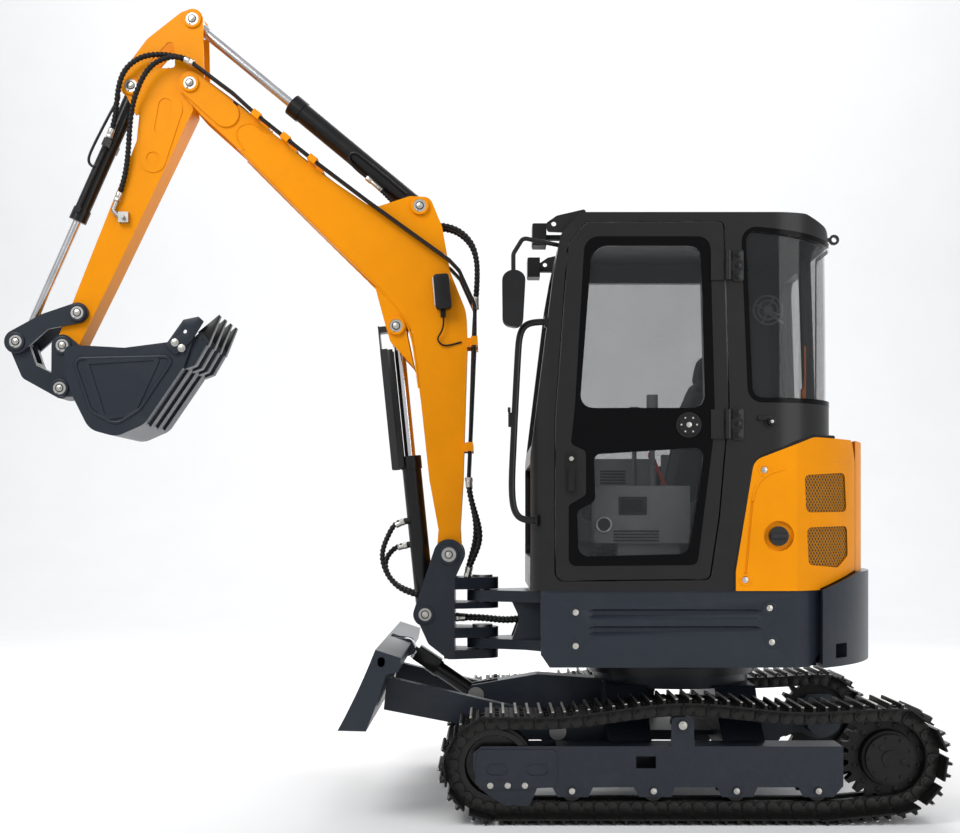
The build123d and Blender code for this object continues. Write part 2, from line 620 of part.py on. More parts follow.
def cab_side():
    points = [(668, SKIRT_TOP_Z), (668, 1510, 200), (577, 2240, 300), (545, 2420, 60),
              (465, CAB_ROOF_Z, 60)]
    points += [(CAB_REAR_X + 145, CAB_ROOF_Z, 60), (CAB_REAR_X + 28, 2466, 40),
               (CAB_REAR_X, HOOD_TOP_Z + 10)]
    points += [(CAB_REAR_X + 110, HOOD_TOP_Z + 10, 60), (PANEL_FRONT_X - 79, HOOD_TOP_Z - 88, 60)]
    points += [(PANEL_FRONT_X + 6, 1037), (PANEL_FRONT_X + 6, SKIRT_TOP_Z)]
    return outline(points)


def cab_plan():
    points = [(670, CAB_RIGHT_Y, 90), (670, SIDE_Y, 90), (CAB_REAR_X, SIDE_Y, CAB_CORNER_R),
              (CAB_REAR_X, CAB_RIGHT_Y, 120)]
    return outline(points)


def cab_block(inset):
    """The cab's outer form, drawn in by a given amount on every side."""
    side = cab_side()
    above = cab_plan()
    if inset > 0:
        side = offset(side, -inset)
        above = offset(above, -inset)
    return slab(side, -1000, 1000) & plan(above, 900, 2600)


def door_face(inset):
    points = [(571, 993, 40), (571, 1657, 200), (518, 2379, 60), (442, 2473, 40), (-127, 2476, 30)]
    points += [(-149, 1720, 200), (-109, 1261, 100), (-70, 1000, 30)]
    face = outline(points)
    return offset(face, -inset) if inset > 0 else face


def window_upper():
    return outline([(467, 1707, 50), (417, 2372, 70), (-30, 2372, 50), (-47, 1707, 50)])


def window_lower():
    return outline([(408, 1518, 30), (403, 1325, 30), (478, 1284, 30), (471, 1097, 40), (23, 1107, 40),
                    (-18, 1337, 60), (-47, 1546, 30)])


def window_quarter():
    return outline([(-214, 2437, 40), (-700, 2380, 40), (-700, 1743, 40), (-244, 1750, 40)])


def window_right():
    return outline([(430, 2380, 60), (-300, 2380, 60), (-300, 1560, 60), (500, 1420, 60)])


def front_window(z_from, z_to, side):
    return Plane.YZ * (Pos(240, (z_from + z_to) / 2) * RectangleRounded(2 * side, z_to - z_from, 50))


def make_cab():
    """The cab cut into roof, walls and floor, and its fixed panes."""
    shell = cab_block(0) - cab_block(CAB_WALL)
    pane = cab_block(GLASS_INSET) - cab_block(GLASS_INSET + GLASS_THICK)
    quarter = slab(window_quarter(), 260, 900)
    right = slab(window_right(), -600, -150)
    upper_front = Pos(300, 0, 0) * extrude(front_window(1560, 2370, 430), 600)
    lower_front = Pos(300, 0, 0) * extrude(front_window(1090, 1480, 430), 600)
    rear = Pos(-800, 0, 0) * extrude(Plane.YZ * (Pos(30, 2060) * RectangleRounded(360, 600, 60)), 400)
    doorway = slab(door_face(0), 600, 900)
    panes = []
    for opening in (quarter, right, upper_front, lower_front, rear):
        shell -= opening
        glass = pane & opening
        panes += glass.solids()
    panes = [p for p in panes if p.volume > 50000]
    shell -= doorway
    roof = shell & block(-900, 900, -900, 900, ROOF_SEAM_Z, 2600)
    lower = shell & block(-900, 900, -900, 900, 900, ROOF_SEAM_Z)
    corner_x = CAB_REAR_X + CAB_CORNER_R
    back = lower & block(-900, corner_x, -900, 900, 900, 2600)
    lower = lower & block(corner_x, 900, -900, 900, 900, 2600)
    left = lower & block(-900, 900, SIDE_Y - CAB_WALL, 900, 900, 2600)
    right_wall = lower & block(-900, 900, -900, CAB_RIGHT_Y + CAB_WALL, 900, 2600)
    middle = lower & block(-900, 900, CAB_RIGHT_Y + CAB_WALL, SIDE_Y - CAB_WALL, 900, 2600)
    front = middle & block(440, 900, -900, 900, SKIRT_TOP_Z + CAB_WALL, 2600)
    floor = middle - block(440, 900, -900, 900, SKIRT_TOP_Z + CAB_WALL, 2600)
    return roof, left, right_wall, front, back, floor, panes


def make_door():
    shell = cab_block(0) - cab_block(CAB_WALL)
    pane = cab_block(GLASS_INSET) - cab_block(GLASS_INSET + GLASS_THICK)
    leaf = shell & slab(door_face(DOOR_SEAM), SIDE_Y - CAB_WALL, 900)
    panes = []
    for face in (window_upper(), window_lower()):
        opening = slab(face, 600, 900)
        leaf -= opening
        panes += (pane & opening).solids()
    return leaf, panes


def make_door_fittings():
    """The round latch on the band between the panes and the handle plate with its lock."""
    latch = rod_y(LATCH, 52, SIDE_Y, SIDE_Y + 7) + rod_y(LATCH, 40, SIDE_Y + 7, SIDE_Y + 12)
    handle = slab(outline([(482, 1350, 14), (482, 1526, 14), (522, 1526, 14), (522, 1350, 14)]), SIDE_Y,
                  SIDE_Y + 8)
    handle += rod_y((502, 1498), 13, SIDE_Y + 8, SIDE_Y + 15)
    handle += block(490, 514, SIDE_Y + 8, SIDE_Y + 22, 1366, 1458)
    return [latch, handle]


def make_hinges():
    """Door hinge knuckles: the leaf's straps and, between them, the pillar's."""
    straps = []
    knuckles = []
    for z in (2290, 1640):
        arm = block(HINGE_X, HINGE_X + 70, SIDE_Y, SIDE_Y + 10, z - 60, z + 60)
        arm += upright(HINGE_X, HINGE_Y, 14, z + 20, z + 60) + upright(HINGE_X, HINGE_Y, 14, z - 60, z - 20)
        arm -= block(HINGE_X - 40, HINGE_X + 15.5, SIDE_Y - 20, 800, z - 20.5, z + 20.5)
        straps.append(arm)
        arm = block(HINGE_X - 60, HINGE_X, SIDE_Y, SIDE_Y + 10, z - 20, z + 20)
        arm += upright(HINGE_X, HINGE_Y, 14, z - 20, z + 20)
        knuckles.append(arm)
    return straps, knuckles


def make_rod_guard():
    """The channel that shields the boom cylinder's rod, carried by the rod's eye."""
    guard = block(82, 88, -52, 52, GUARD_FOOT, 1228) + block(82, 88, -40, 40, 1228, 1336)
    guard += block(54, 88, 46, 52, GUARD_FOOT, 1228) + block(54, 88, -52, -46, GUARD_FOOT, 1228)
    guard += block(38, 84, -EYE_HALF, EYE_HALF, 1306, 1334)
    return along(BOOM_CYL_BASE, BOOM_CYL_EYE) * guard


def make_swing_post():
    cheek = strap(BOOM_FOOT, 70, BOOM_CYL_BASE, 54)
    cheek += outline([(995, 614), (995, 1090), (1060, 1090), (1176, 818), (1115, 684, 30), (1026, 614, 16)])
    post = pair(cheek, POST_CHEEK_IN, POST_CHEEK_OUT)
    post += block(995, 1020, -POST_CHEEK_OUT, POST_CHEEK_OUT, 614, 985)
    shelf = make_hull((disc((SWING_X, 0), 73) + Pos(1008, 0) * Rectangle(24, 2 * POST_CHEEK_OUT)).edges())
    for low, high in ((614, 655), (710, 756), (843, 870), (931, POST_TOP_Z)):
        post += plan(shelf, low, high)
    post += block(1020, 1045, -POST_CHEEK_IN, POST_CHEEK_IN, 614, 650)
    post -= rod_y(BOOM_FOOT, PIN_R + 4, -200, 200)
    post -= rod_y(BOOM_CYL_BASE, PIN_R, -200, 200)
    post -= upright(SWING_X, 0, SWING_PIN_R, 600, 1000)
    return post


def make_swing_pins():
    pins = [headed_pin(BOOM_FOOT, POST_CHEEK_OUT, PIN_R + 4), headed_pin(BOOM_CYL_BASE, POST_CHEEK_OUT)]
    for low, high in ((614, 756), (843, 985)):
        shank = upright(SWING_X, 0, SWING_PIN_R, low, high)
        pins.append(shank + upright(SWING_X, 0, SWING_PIN_R + 12, high, high + 10))
    return pins


def boom_core():
    """The closed box of the boom in side view, without its lugs."""
    points = [(1985, 3144), (1612, 2835), (1379, 2677), (1031, 2417, 160), (943, 2197, 160),
              (939, 2050, 200)]
    points += [(958, 1430), (972, 1190), (1068, 1190), (1112, 1430), (1150, 1782, 300), (1192, 2120, 160)]
    points += [(1340, 2312, 120), (1612, 2569), (1973, 2933), (2040, 3010)]
    return outline(points)


def boom_web():
    """The box's cross plates: like the core, but set back behind the cylinder so that its eye has room."""
    room = outline([(1180, 1060), (1034, 1060), (1056, 1430), (1080, 1782), (1104, 2120), (1150, 2230, 60),
                    (1330, 2352), (1420, 2300)])
    return boom_core() - room


def make_boom():
    core = boom_core()
    web = boom_web()
    plate = core + strap(BOOM_FOOT, 57, (1020, 1230), 48)
    plate += outline([(2011, 3166), (2165, 3284), (2250, 3206), (2155, 3097),
                      (1973, 2933)]) + disc(ARM_PIVOT, 54)
    lug = [(1020, 2400), (1054, 2588, 60), (1109, 2722, 44), (1201, 2726, 40), (1342, 2680, 30),
           (1400, 2690), (1300, 2560)]
    plate += outline(lug)
    bracket = [(1150, 1790), (1183, 1944, 60), (1290, 2060, 40), (1322, 2170, 40), (1360, 2312),
               (1250, 2260)]
    plate += outline(bracket) + disc(BOOM_CYL_EYE, 46)
    boom = pair(plate, BOOM_HALF - BOX_PLATE, BOOM_HALF)
    boom += slab(web - offset(web, -BOX_PLATE), -BOOM_HALF + BOX_PLATE, BOOM_HALF - BOX_PLATE)
    tip = strap(ARM_PIVOT, 54, (2040, 3100), 60)
    boom += pair(tip, BOOM_HALF, BOOM_HALF + 9)
    foot_discs = pair(disc(BOOM_FOOT, 57), BOOM_HALF - 30, BOOM_HALF)
    boom += rod_y(BOOM_FOOT, 45, -BOOM_HALF, BOOM_HALF) + foot_discs
    boom += pair(disc(ARM_CYL_BASE, 42), EYE_HALF + 10, BOOM_HALF + 6)
    boom += pair(disc(BOOM_CYL_EYE, 42), EYE_HALF + 10, BOOM_HALF + 6)
    boom -= rod_y(BOOM_FOOT, PIN_R + 4 + FIT, -200, 200)
    for centre in (ARM_CYL_BASE, BOOM_CYL_EYE, ARM_PIVOT):
        boom -= rod_y(centre, PIN_R, -200, 200)
    return boom.fuse(*make_pipe_clamps())


def make_boom_pins():
    pins = [headed_pin(ARM_CYL_BASE, BOOM_HALF + 6), headed_pin(ARM_PIVOT, BOOM_HALF + 9)]
    return pins + stub_pins(BOOM_CYL_EYE, EYE_HALF + 10, BOOM_HALF + 6).solids()


def make_boom_lamp():
    case = outline([(1008, 2206, 14), (1022, 2362, 14), (1092, 2356, 14), (1080, 2200, 14)])
    foot = block(1036, 1064, BOOM_HALF, BOOM_HALF + 14, 2262, 2304)
    return slab(case, BOOM_HALF + 14, BOOM_HALF + 74) + foot


def pipe_route():
    """Along the boom's top, past the lug and down its rear, in the side view."""
    route = [PIPE_TOP, (2001, 3184), (1905, 3096), (1612, 2862), (1384, 2690), (1199, 2556), (1020, 2428),
             (975, 2380)]
    return route + [(905, 2226), (905, 2080), (930, 1500), PIPE_FOOT]


def make_boom_pipes():
    """Steel pipes on both sides of the boom, and at its rear the ones that the lug's hoses join."""
    pipes = []
    for side in (1, -1):
        for y in PIPE_YS:
            pipes.append(tube([(x, side * y, z) for x, z in pipe_route()], 30, PIPE_R))
        rear = [LOOP_END, (908, 2164), (912, 2080), (930, 1500), PIPE_FOOT]
        pipes.append(tube([(x, side * REAR_PIPE_Y, z) for x, z in rear], 30, PIPE_R))
        loop = [(1179.97, 2528.34), (1144.1, 2576.4), (1090, 2606), (1046, 2602), (985, 2588), (925, 2537),
                (897, 2470), (890, 2386)]
        pipes.append(tube([(x, side * REAR_PIPE_Y, z) for x, z in loop + [LOOP_END]], 26, HOSE_R))
    return pipes


def make_pipe_clamps():
    """Saddles welded to the boom that hold its pipes."""
    clamps = []
    for x, z, slope in ((1895, 3087, 38), (1763, 2983, 38), (1640, 2884, 38), (906, 2060, 88),
                        (927, 1580, 88)):
        for side in (1, -1):
            saddle = Pos(x, side * 108, z) * Rot(0, -slope, 0) * Box(40, 76, 30)
            foot = Pos(x, side * 78, z) * Rot(0, -slope, 0) * Pos(0, 0, -16) * Box(40, 24, 60)
            clamps.append(saddle + foot)
    holes = make_boom_pipes()
    return [clamp.cut(*holes) for clamp in clamps]


def make_arm_hoses():
    """The hoses over the arm's pivot, from the boom's pipes to the bucket cylinder and the arm's valve."""
    along_barrel = along(BUCKET_CYL_BASE, LINK_PIN)
    port = (along_barrel * Pos(0, PORT_Y, PORT_AT)).position
    above = (along_barrel * Pos(0, PORT_Y, PORT_AT - 80)).position
    x, z = PIPE_TOP
    first = [(x, PIPE_YS[0], z), (x + 53.7, PIPE_YS[0], z + 40.2), (2353, 114, 3372), (2440, 120, 3347),
             (2504, 122, 3288), (2532, 116, 3195)]
    first += [(above.X, above.Y, above.Z), (port.X, port.Y, port.Z)]
    second = [(x, PIPE_YS[1], z), (x + 53.7, PIPE_YS[1], z + 40.2), (2335, 136, 3342), (2399, 134, 3280),
              (2442, 130, 3190), (2468, 122, 3095)]
    second += [(2479, 108, 2975), (2490, 96, 2856), (2514, VALVE_Y, 2765),
               (VALVE_PORT[0], VALVE_Y, VALVE_PORT[1])]
    hoses = []
    for points in (first, second):
        hose = tube(points, 30, HOSE_R)
        hoses += [hose, mirror(hose, Plane.XZ)]
    return hoses


def make_arm_valves():
    """A stop valve on each side of the arm with its elbow."""
    x, z = VALVE_PORT
    knob = rod_y((2507, 2628), 9, VALVE_Y + 14, VALVE_Y + 34)
    valve = block(2484, 2530, ARM_HALF, VALVE_Y + 14, 2604, 2652) + knob
    valve += tube([(x, VALVE_Y, z), (x + 15.6, VALVE_Y, z - 39), (2528, VALVE_Y, 2630)], 8, 10)
    return [valve, mirror(valve, Plane.XZ)]


def make_foot_hoses():
    """From the pipes at the boom's rear down to the top of the swing post."""
    hoses = []
    x, z = PIPE_FOOT
    for y, end_x, end_y in ((REAR_PIPE_Y, 940, 28), (PIPE_YS[0], 938, 59), (PIPE_YS[1], 940, 90)):
        bow = 862 if y != REAR_PIPE_Y else 896
        points = [(x, y, z), (x + 2.6, y, z - 60), (900, y, 1270), (bow, (y + end_y) / 2, 1140),
                  (end_x, end_y, 1030), (end_x, end_y, POST_TOP_Z)]
        hose = tube(points, 34, HOSE_R)
        hoses += [hose, mirror(hose, Plane.XZ)]
    return hoses


def make_post_hoses():
    """Through the open middle of the swing hinge, from the upper frame to the swing post."""
    hoses = []
    for y in (24, 56):
        for side in (1, -1):
            hoses.append(tube([(500, side * y, 798), (700, side * y, 798), (760, side * y, 790),
                               (820, side * y, 798), (995, side * y, 798)], 150, HOSE_R))
    return hoses


def make_cylinder_hoses():
    """The two loops in front of the boom cylinder."""
    place = along(BOOM_CYL_BASE, BOOM_CYL_EYE)
    hoses = []
    for side, port_at, loop in ((1, 431, [(1300, 1185), (1340, 1095), (1318, 1005)]),
                                (-1, 321, [(1295, 1105), (1330, 1050), (1308, 980)])):
        start = (place * Pos(58, side * 24, port_at)).position
        out = (place * Pos(100, side * 24, port_at)).position
        points = [(start.X, start.Y, start.Z), (out.X, out.Y, out.Z)]
        points += [(x, side * 34, z) for x, z in loop]
        points += [(1255, side * 62, 930), (1165, side * 71, 902), (1090, side * 71, 882),
                   (1020, side * 71, 882)]
        hoses.append(tube(points, 24, HOSE_R - 1))
    return hoses


def cylinder_ports(places, reach):
    """Round bosses at the front of the boom's barrel."""
    bosses = []
    for side, port_at in places:
        place = along(BOOM_CYL_BASE, BOOM_CYL_EYE) * Pos((28 + reach) / 2, side * 24, port_at)
        bosses.append(place * Rot(0, 90, 0) * Cylinder(15, reach - 28))
    return bosses


def bucket_ports():
    """Port blocks and pipes on both sides of the bucket's barrel."""
    place = along(BUCKET_CYL_BASE, LINK_PIN)
    pieces = []
    for side in (1, -1):
        pieces.append(place * Pos(0, side * (PORT_Y - 9), PORT_AT + 19) * Box(32, 46, 38))
        pieces.append(place * Pos(0, side * 52, (PORT_AT + 30 + 610) / 2) * Cylinder(7, 610 - PORT_AT - 30))
        pieces.append(place * Pos(0, side * 46, 612) * Box(24, 30, 24))
    return pieces


def arm_core():
    """The closed box of the arm in side view, without the open horn."""
    points = [(2194, 3122), (2215, 3290, 20), (2390, 3290, 20), (2440, 3100, 60), (2452, 2982, 60),
              (2536, 2767)]
    points += [(2704, 2345), (2743, 2246), (2815, 2075), (2760, 2000), (2713, 2053), (2568, 2345)]
    return outline(points)


def make_arm():
    core = arm_core()
    plate = core + strap(ARM_PIVOT, 60, ARM_CYL_EYE, 48)
    plate += outline([(2197, 3587), (2249, 3571, 40), (2405, 3448, 90), (2530, 3280, 60), (2500, 3190, 30),
                      (2456, 3100), (2390, 3130), (2200, 3290)])
    plate += disc(BUCKET_CYL_BASE, 50) + disc(BUCKET_PIVOT, 48)
    plate -= outline([(2283, 3463, 20), (2414, 3320, 20), (2276, 3312, 20)])
    arm = pair(plate, ARM_HALF - BOX_PLATE, ARM_HALF)
    arm += slab(core - offset(core, -BOX_PLATE), -ARM_HALF + BOX_PLATE, ARM_HALF - BOX_PLATE)
    doubler = make_hull((disc((2376, 2895), 58) + disc((2312, 3130), 70) + disc((2402, 3130), 34)).edges())
    doubler -= Pos(2330, 3092) * Rot(0, 0, 100) * SlotOverall(170, 62)
    doubler -= disc((2377, 2902), 30)
    arm += pair(doubler, ARM_HALF, ARM_HALF + 4)
    for centre, radius in ((ARM_PIVOT, 50), (GUIDE_PIVOT, 44), (BUCKET_PIVOT, 48)):
        arm += rod_y(centre, radius, -ARM_HALF, ARM_HALF)
    arm += pair(disc(BUCKET_CYL_BASE, 42), EYE_HALF + 8, ARM_HALF)
    arm += pair(disc(ARM_CYL_EYE, 42), EYE_HALF + 10, ARM_HALF)
    arm -= rod_y(ARM_PIVOT, PIN_R + FIT, -200, 200)
    arm -= rod_y(BUCKET_PIVOT, PIN_R + FIT, -200, 200)
    for centre in (BUCKET_CYL_BASE, ARM_CYL_EYE, GUIDE_PIVOT):
        arm -= rod_y(centre, PIN_R, -200, 200)
    return arm


def make_arm_pins():
    pins = [headed_pin(BUCKET_CYL_BASE, ARM_HALF), headed_pin(GUIDE_PIVOT, ARM_HALF + PLAY + 18 + 1)]
    return pins + stub_pins(ARM_CYL_EYE, EYE_HALF + 10, ARM_HALF).solids()


def make_guide_links():
    """Two curved plates outside the arm with the pin ends they share with the push link."""
    bend = (2868.0, 2152.0)
    plate = strap(GUIDE_PIVOT, 47, bend, 36) + strap(bend, 36, LINK_PIN, 54)
    plate = plate - disc(GUIDE_PIVOT, PIN_R + FIT) - disc(LINK_PIN, PIN_R)
    links = pair(plate, ARM_HALF + PLAY, ARM_HALF + PLAY + 18)
    return links.solids()


def make_link_pin():
    return stub_pins(LINK_PIN, EYE_HALF + 6, ARM_HALF + PLAY + 18).solids()


def make_push_link():
    bend = (2945.0, 1925.0)
    side = strap(LINK_PIN, 46, bend, 40) + strap(bend, 40, BUCKET_LINK, 45)
    link = slab(side, -EAR_IN + 8, EAR_IN - 8)
    link -= slab(disc(LINK_PIN, 120), -EYE_HALF - 6, EYE_HALF + 6)
    link -= rod_y(LINK_PIN, PIN_R + FIT, -200, 200)
    return link - rod_y(BUCKET_LINK, PIN_R + 4, -200, 200)


def bucket_side():
    points = [(2153, 2057), (2197, 1932), (2374, 1673, 90), (2500, 1618, 90), (2620, 1650, 90),
              (2690, 1790, 60), (2730, 1905)]
    points += [(2730, 2020, 20), (2640, 2024), (2462, 2014), (2278, 2038)]
    return outline(points)


def make_bucket():
    side = bucket_side()
    shell = slab(side, -BUCKET_HALF, BUCKET_HALF)
    cut = offset(side, -BUCKET_PLATE)
    mouth = outline([(2165, 2046), (2205, 1936), (2690, 1936), (2690, 2100), (2165, 2100)])
    shell -= slab(cut + mouth, -BUCKET_HALF + BUCKET_PLATE, BUCKET_HALF - BUCKET_PLATE)
    ear_ends = disc(BUCKET_PIVOT, 50) + disc(BUCKET_LINK, 40)
    ear = make_hull((ear_ends + disc((2700, 1985), 40) + disc((2700, 1830), 20)).edges())
    ear -= offset(side, -2)
    ears = pair(ear, EAR_IN, EAR_OUT)
    shell += ears
    frame = outline([(2650, 1962, 26), (2292, 1985, 26), (2418, 1712, 26), (2566, 1690, 26)])
    shell += pair(ring_of(frame, 24), BUCKET_HALF, BUCKET_HALF + 6)
    strip = outline([(2162, 2010), (2197, 1932), (2374, 1673), (2365, 1667), (2188, 1927), (2152, 2010)])
    for y in (-137, 0, 137):
        shell += slab(strip, y - 30, y + 30)
    shell -= rod_y(BUCKET_PIVOT, PIN_R, -200, 200)
    shell -= rod_y(BUCKET_LINK, PIN_R, -200, 200)
    return shell


def make_side_cutters():
    plate = outline([(2277, 2024, 6), (2197, 2137, 10), (2130, 2151, 8), (2108, 2131), (2161, 2044),
                     (2233, 1979, 10)])
    for x, z in ((2235, 2035), (2205, 2010), (2190, 2085)):
        plate -= disc((x, z), 9)
    return [slab(plate, BUCKET_HALF, BUCKET_HALF + 14), slab(plate, -BUCKET_HALF - 14, -BUCKET_HALF)]


def make_teeth():
    teeth = []
    for i in range(4):
        y = (i - 1.5) * (2 * BUCKET_HALF - 90) / 3
        side = outline([(2205, 1915), (2158, 2062), (2038, 2168), (2086, 2040), (2150, 1935)])
        side -= offset(bucket_side(), 0.0)
        tooth = slab(side, y - 32, y + 32)
        teeth += tooth.solids()
    return teeth


def make_bucket_pins():
    pins = [headed_pin(BUCKET_PIVOT, EAR_OUT)]
    return pins + stub_pins(BUCKET_LINK, EAR_IN - 2, EAR_OUT).solids()


def make_seat():
    pan = block(-10, 420, 30, 470, 1240, 1330)
    back = Pos(-60, 250, 1640) * Rot(0, -12, 0) * Box(110, 440, 660)
    base = block(20, 380, 60, 440, SKIRT_TOP_Z + CAB_WALL, 1240)
    return pan + back + base


def make_consoles():
    """The two side consoles with their levers, and the travel levers that stand on the floor."""
    floor = SKIRT_TOP_Z + CAB_WALL
    left = block(0, 400, 500, 640, 1150, 1390) + block(40, 300, 520, 620, floor, 1150)
    right = block(0, 440, -140, 0, 1150, 1390) + block(40, 340, -150, -20, floor, 1150)
    pieces = []
    for body, x, y in ((left, 150, 570), (right, 160, -70)):
        pieces.append(body + upright(x, y, 11, 1390, 1690) + upright(x, y, 24, 1690, 1775))
    for y in (170, 330):
        pieces.append(upright(520, y, 10, floor, 1500) + upright(520, y, 20, 1500, 1600))
    return pieces


def make_handrail():
    route = FilletPolyline((590, 712, 2050), (690, 712, 2010), (736, 712, 1400), (700, 712, 1270),
                           (640, 712, 1245), radius=50)
    return sweep(Plane(route @ 0, z_dir=route % 0) * Circle(14), route)


def make_mirror():
    arm = FilletPolyline((530, 690, 2380), (700, 760, 2400), (740, 790, 2330), (740, 790, 2250), radius=30)
    bar = sweep(Plane(arm @ 0, z_dir=arm % 0) * Circle(9), arm)
    case = outline([(702, 2022, 34), (690, 2244, 40), (742, 2268, 50), (786, 2240, 40), (784, 2040, 34)])
    return bar + slab(case, 764, 816)


def make_roof_brackets():
    """Two lifting plates with round holes at the front of the roof and a ring at its rear corner."""
    pieces = []
    for y in (700, CAB_RIGHT_Y + 28):
        plate = outline([(440, 2430), (440, 2530, 10), (560, 2502, 16), (606, 2470, 16), (598, 2436, 12)])
        plate -= disc(LIFT_HOLE, LIFT_HOLE_R)
        pieces.append(slab(plate, y, y + 12) - cab_block(0))
    ring = rod_y((-640, 2448), 22, 470, 482) - rod_y((-640, 2448), 11, 460, 500)
    ring += block(-622, -500, 470, 482, 2440, 2456) - rod_y((-640, 2448), 11, 460, 500)
    pieces.append(ring - cab_block(0))
    return pieces


def make_lamps():
    lamps = []
    for y in (610, -150):
        lamp = block(600, 655, y - 48, y + 48, 2390, 2482) + block(530, 600, y - 15, y + 15, 2420, 2440)
        lamps.append(lamp - cab_block(0))
    return lamps


def save(name, pieces):
    """Write one node, a single solid or several that do not touch."""
    solids = []
    for piece in pieces if isinstance(pieces, (list, tuple)) else [pieces]:
        solids += piece.solids()
    shape = solids[0] if len(solids) == 1 else Compound(children=solids)
    shape.label = name
    export_step(shape, f"parts/{name}.step")


def both_sides(maker):
    """The same piece in both tracks: as made at the left, mirrored at the right."""
    piece = Pos(0, TRACK_CENTRE_Y, 0) * maker
    return [piece, mirror(piece, Plane.XZ)]


def main():
    os.makedirs("parts", exist_ok=True)
    track = make_track()
    save("track_left", Pos(0, TRACK_CENTRE_Y, 0) * track)
    save("track_right", Pos(0, -TRACK_CENTRE_Y, 0) * track)
    save("track_frames", both_sides(make_track_frame()))
    save("sprockets", both_sides(make_sprocket()))
    save("idlers", both_sides(make_idler()))
    rollers = []
    for x in ROLLER_XS:
        rollers += both_sides(make_roller(x))
    save("track_rollers", rollers + both_sides(make_carrier()))
    save("travel_motors", both_sides(make_travel_motor()))
    save("car_body", make_car_body())
    ring_bore = upright(0, 0, SLEW_BORE_R, CAR_TOP_Z, SLEW_JOINT_Z)
    ring = upright(0, 0, SLEW_R + 30, CAR_TOP_Z, SLEW_JOINT_Z) - ring_bore
    save("slew_ring_fixed", ring)
    ring = upright(0, 0, SLEW_R, SLEW_JOINT_Z + 0.5, UPPER_BOTTOM_Z)
    save("slew_ring_turning", ring - upright(0, 0, SLEW_BORE_R, SLEW_JOINT_Z + 0.5, UPPER_BOTTOM_Z))
    eye_pins = stub_pins(BLADE_CYL_EYE, EYE_HALF + PLAY + 5, EYE_HALF + PLAY + 21)
    save("blade", make_blade() + eye_pins)
    save("blade_pins", make_blade_pins())
    save("blade_barrel", barrel(BLADE_CYL_BASE, BLADE_CYL_EYE, BLADE_BARREL_R, BLADE_ROD_R,
                                BLADE_BARREL_LENGTH, EYE_HALF))
    save("blade_rod", piston_rod(BLADE_CYL_BASE, BLADE_CYL_EYE, BLADE_ROD_R, 100, EYE_HALF, 42))
    save("upper_frame", make_upper_frame())
    skirt = make_skirt()
    save("side_skirts", [skirt, mirror(skirt, Plane.XZ)])
    save("counterweight", make_counterweight())
    save("left_panel", make_left_panel())
    save("panel_fittings", make_grilles() + [make_filler_cap()])
    save("rear_hood", make_hood())
    save("right_cover", make_right_cover())
    save("engine_block", block(HOOD_FRONT_X + 15, -CAR_HALF_LENGTH - 10, -230, 330, DECK_TOP_Z,
                               HOOD_TOP_Z - 240))
    roof, left, right_wall, front, back, floor, panes = make_cab()
    save("cab_roof", roof.fuse(*make_roof_brackets()))
    straps, knuckles = make_hinges()
    save("cab_left_wall", left.fuse(*knuckles))
    save("cab_right_wall", right_wall)
    save("cab_front", front)
    save("cab_rear_wall", back)
    save("cab_floor", floor)
    save("cab_glass", panes)
    leaf, panes = make_door()
    save("door", leaf.fuse(*straps))
    save("door_glass", panes)
    save("door_fittings", make_door_fittings())
    save("operator_seat", make_seat())
    save("consoles", make_consoles())
    save("handrail", make_handrail() - cab_block(0))
    save("mirror_left", make_mirror() - cab_block(0))
    save("cab_lamps", make_lamps())
    save("swing_post", make_swing_post())
    save("swing_pins", make_swing_pins())
    save("boom", make_boom())
    save("boom_pins", make_boom_pins())
    save("boom_fittings", make_boom_pipes() + [make_boom_lamp()])
    save("boom_barrel", barrel(BOOM_CYL_BASE, BOOM_CYL_EYE, BOOM_BARREL_R, BOOM_ROD_R, BOOM_BARREL_LENGTH,
                               EYE_HALF + 20).fuse(*cylinder_ports(((1, 431), (-1, 321)), 58)))
    boom_rod = piston_rod(BOOM_CYL_BASE, BOOM_CYL_EYE, BOOM_ROD_R, 560, EYE_HALF, 42)
    save("boom_rod", boom_rod + make_rod_guard())
    save("cylinder_hoses", make_cylinder_hoses())
    save("foot_hoses", make_foot_hoses())
    save("post_hoses", make_post_hoses())
    save("arm_hoses", make_arm_hoses())
    save("arm", make_arm())
    save("arm_pins", make_arm_pins() + make_arm_valves())
    save("arm_barrel", barrel(ARM_CYL_BASE, ARM_CYL_EYE, ARM_BARREL_R, ARM_ROD_R, ARM_BARREL_LENGTH,
                              EYE_HALF + 8))
    save("arm_rod", piston_rod(ARM_CYL_BASE, ARM_CYL_EYE, ARM_ROD_R, 600, EYE_HALF, 40))
    save("bucket_barrel", barrel(BUCKET_CYL_BASE, LINK_PIN, BUCKET_BARREL_R, BUCKET_ROD_R,
                                 BUCKET_BARREL_LENGTH, EYE_HALF + 6).fuse(*bucket_ports()))
    save("bucket_rod", piston_rod(BUCKET_CYL_BASE, LINK_PIN, BUCKET_ROD_R, 585, EYE_HALF, 40))
    save("guide_links", make_guide_links())
    save("link_pins", make_link_pin())
    save("push_link", make_push_link())
    save("bucket", make_bucket())
    save("bucket_teeth", make_teeth() + make_side_cutters())
    save("bucket_pins", make_bucket_pins())


if __name__ == "__main__":
    main()
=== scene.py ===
import bpy
import bmesh
import json
import math
from mathutils import Matrix, Vector


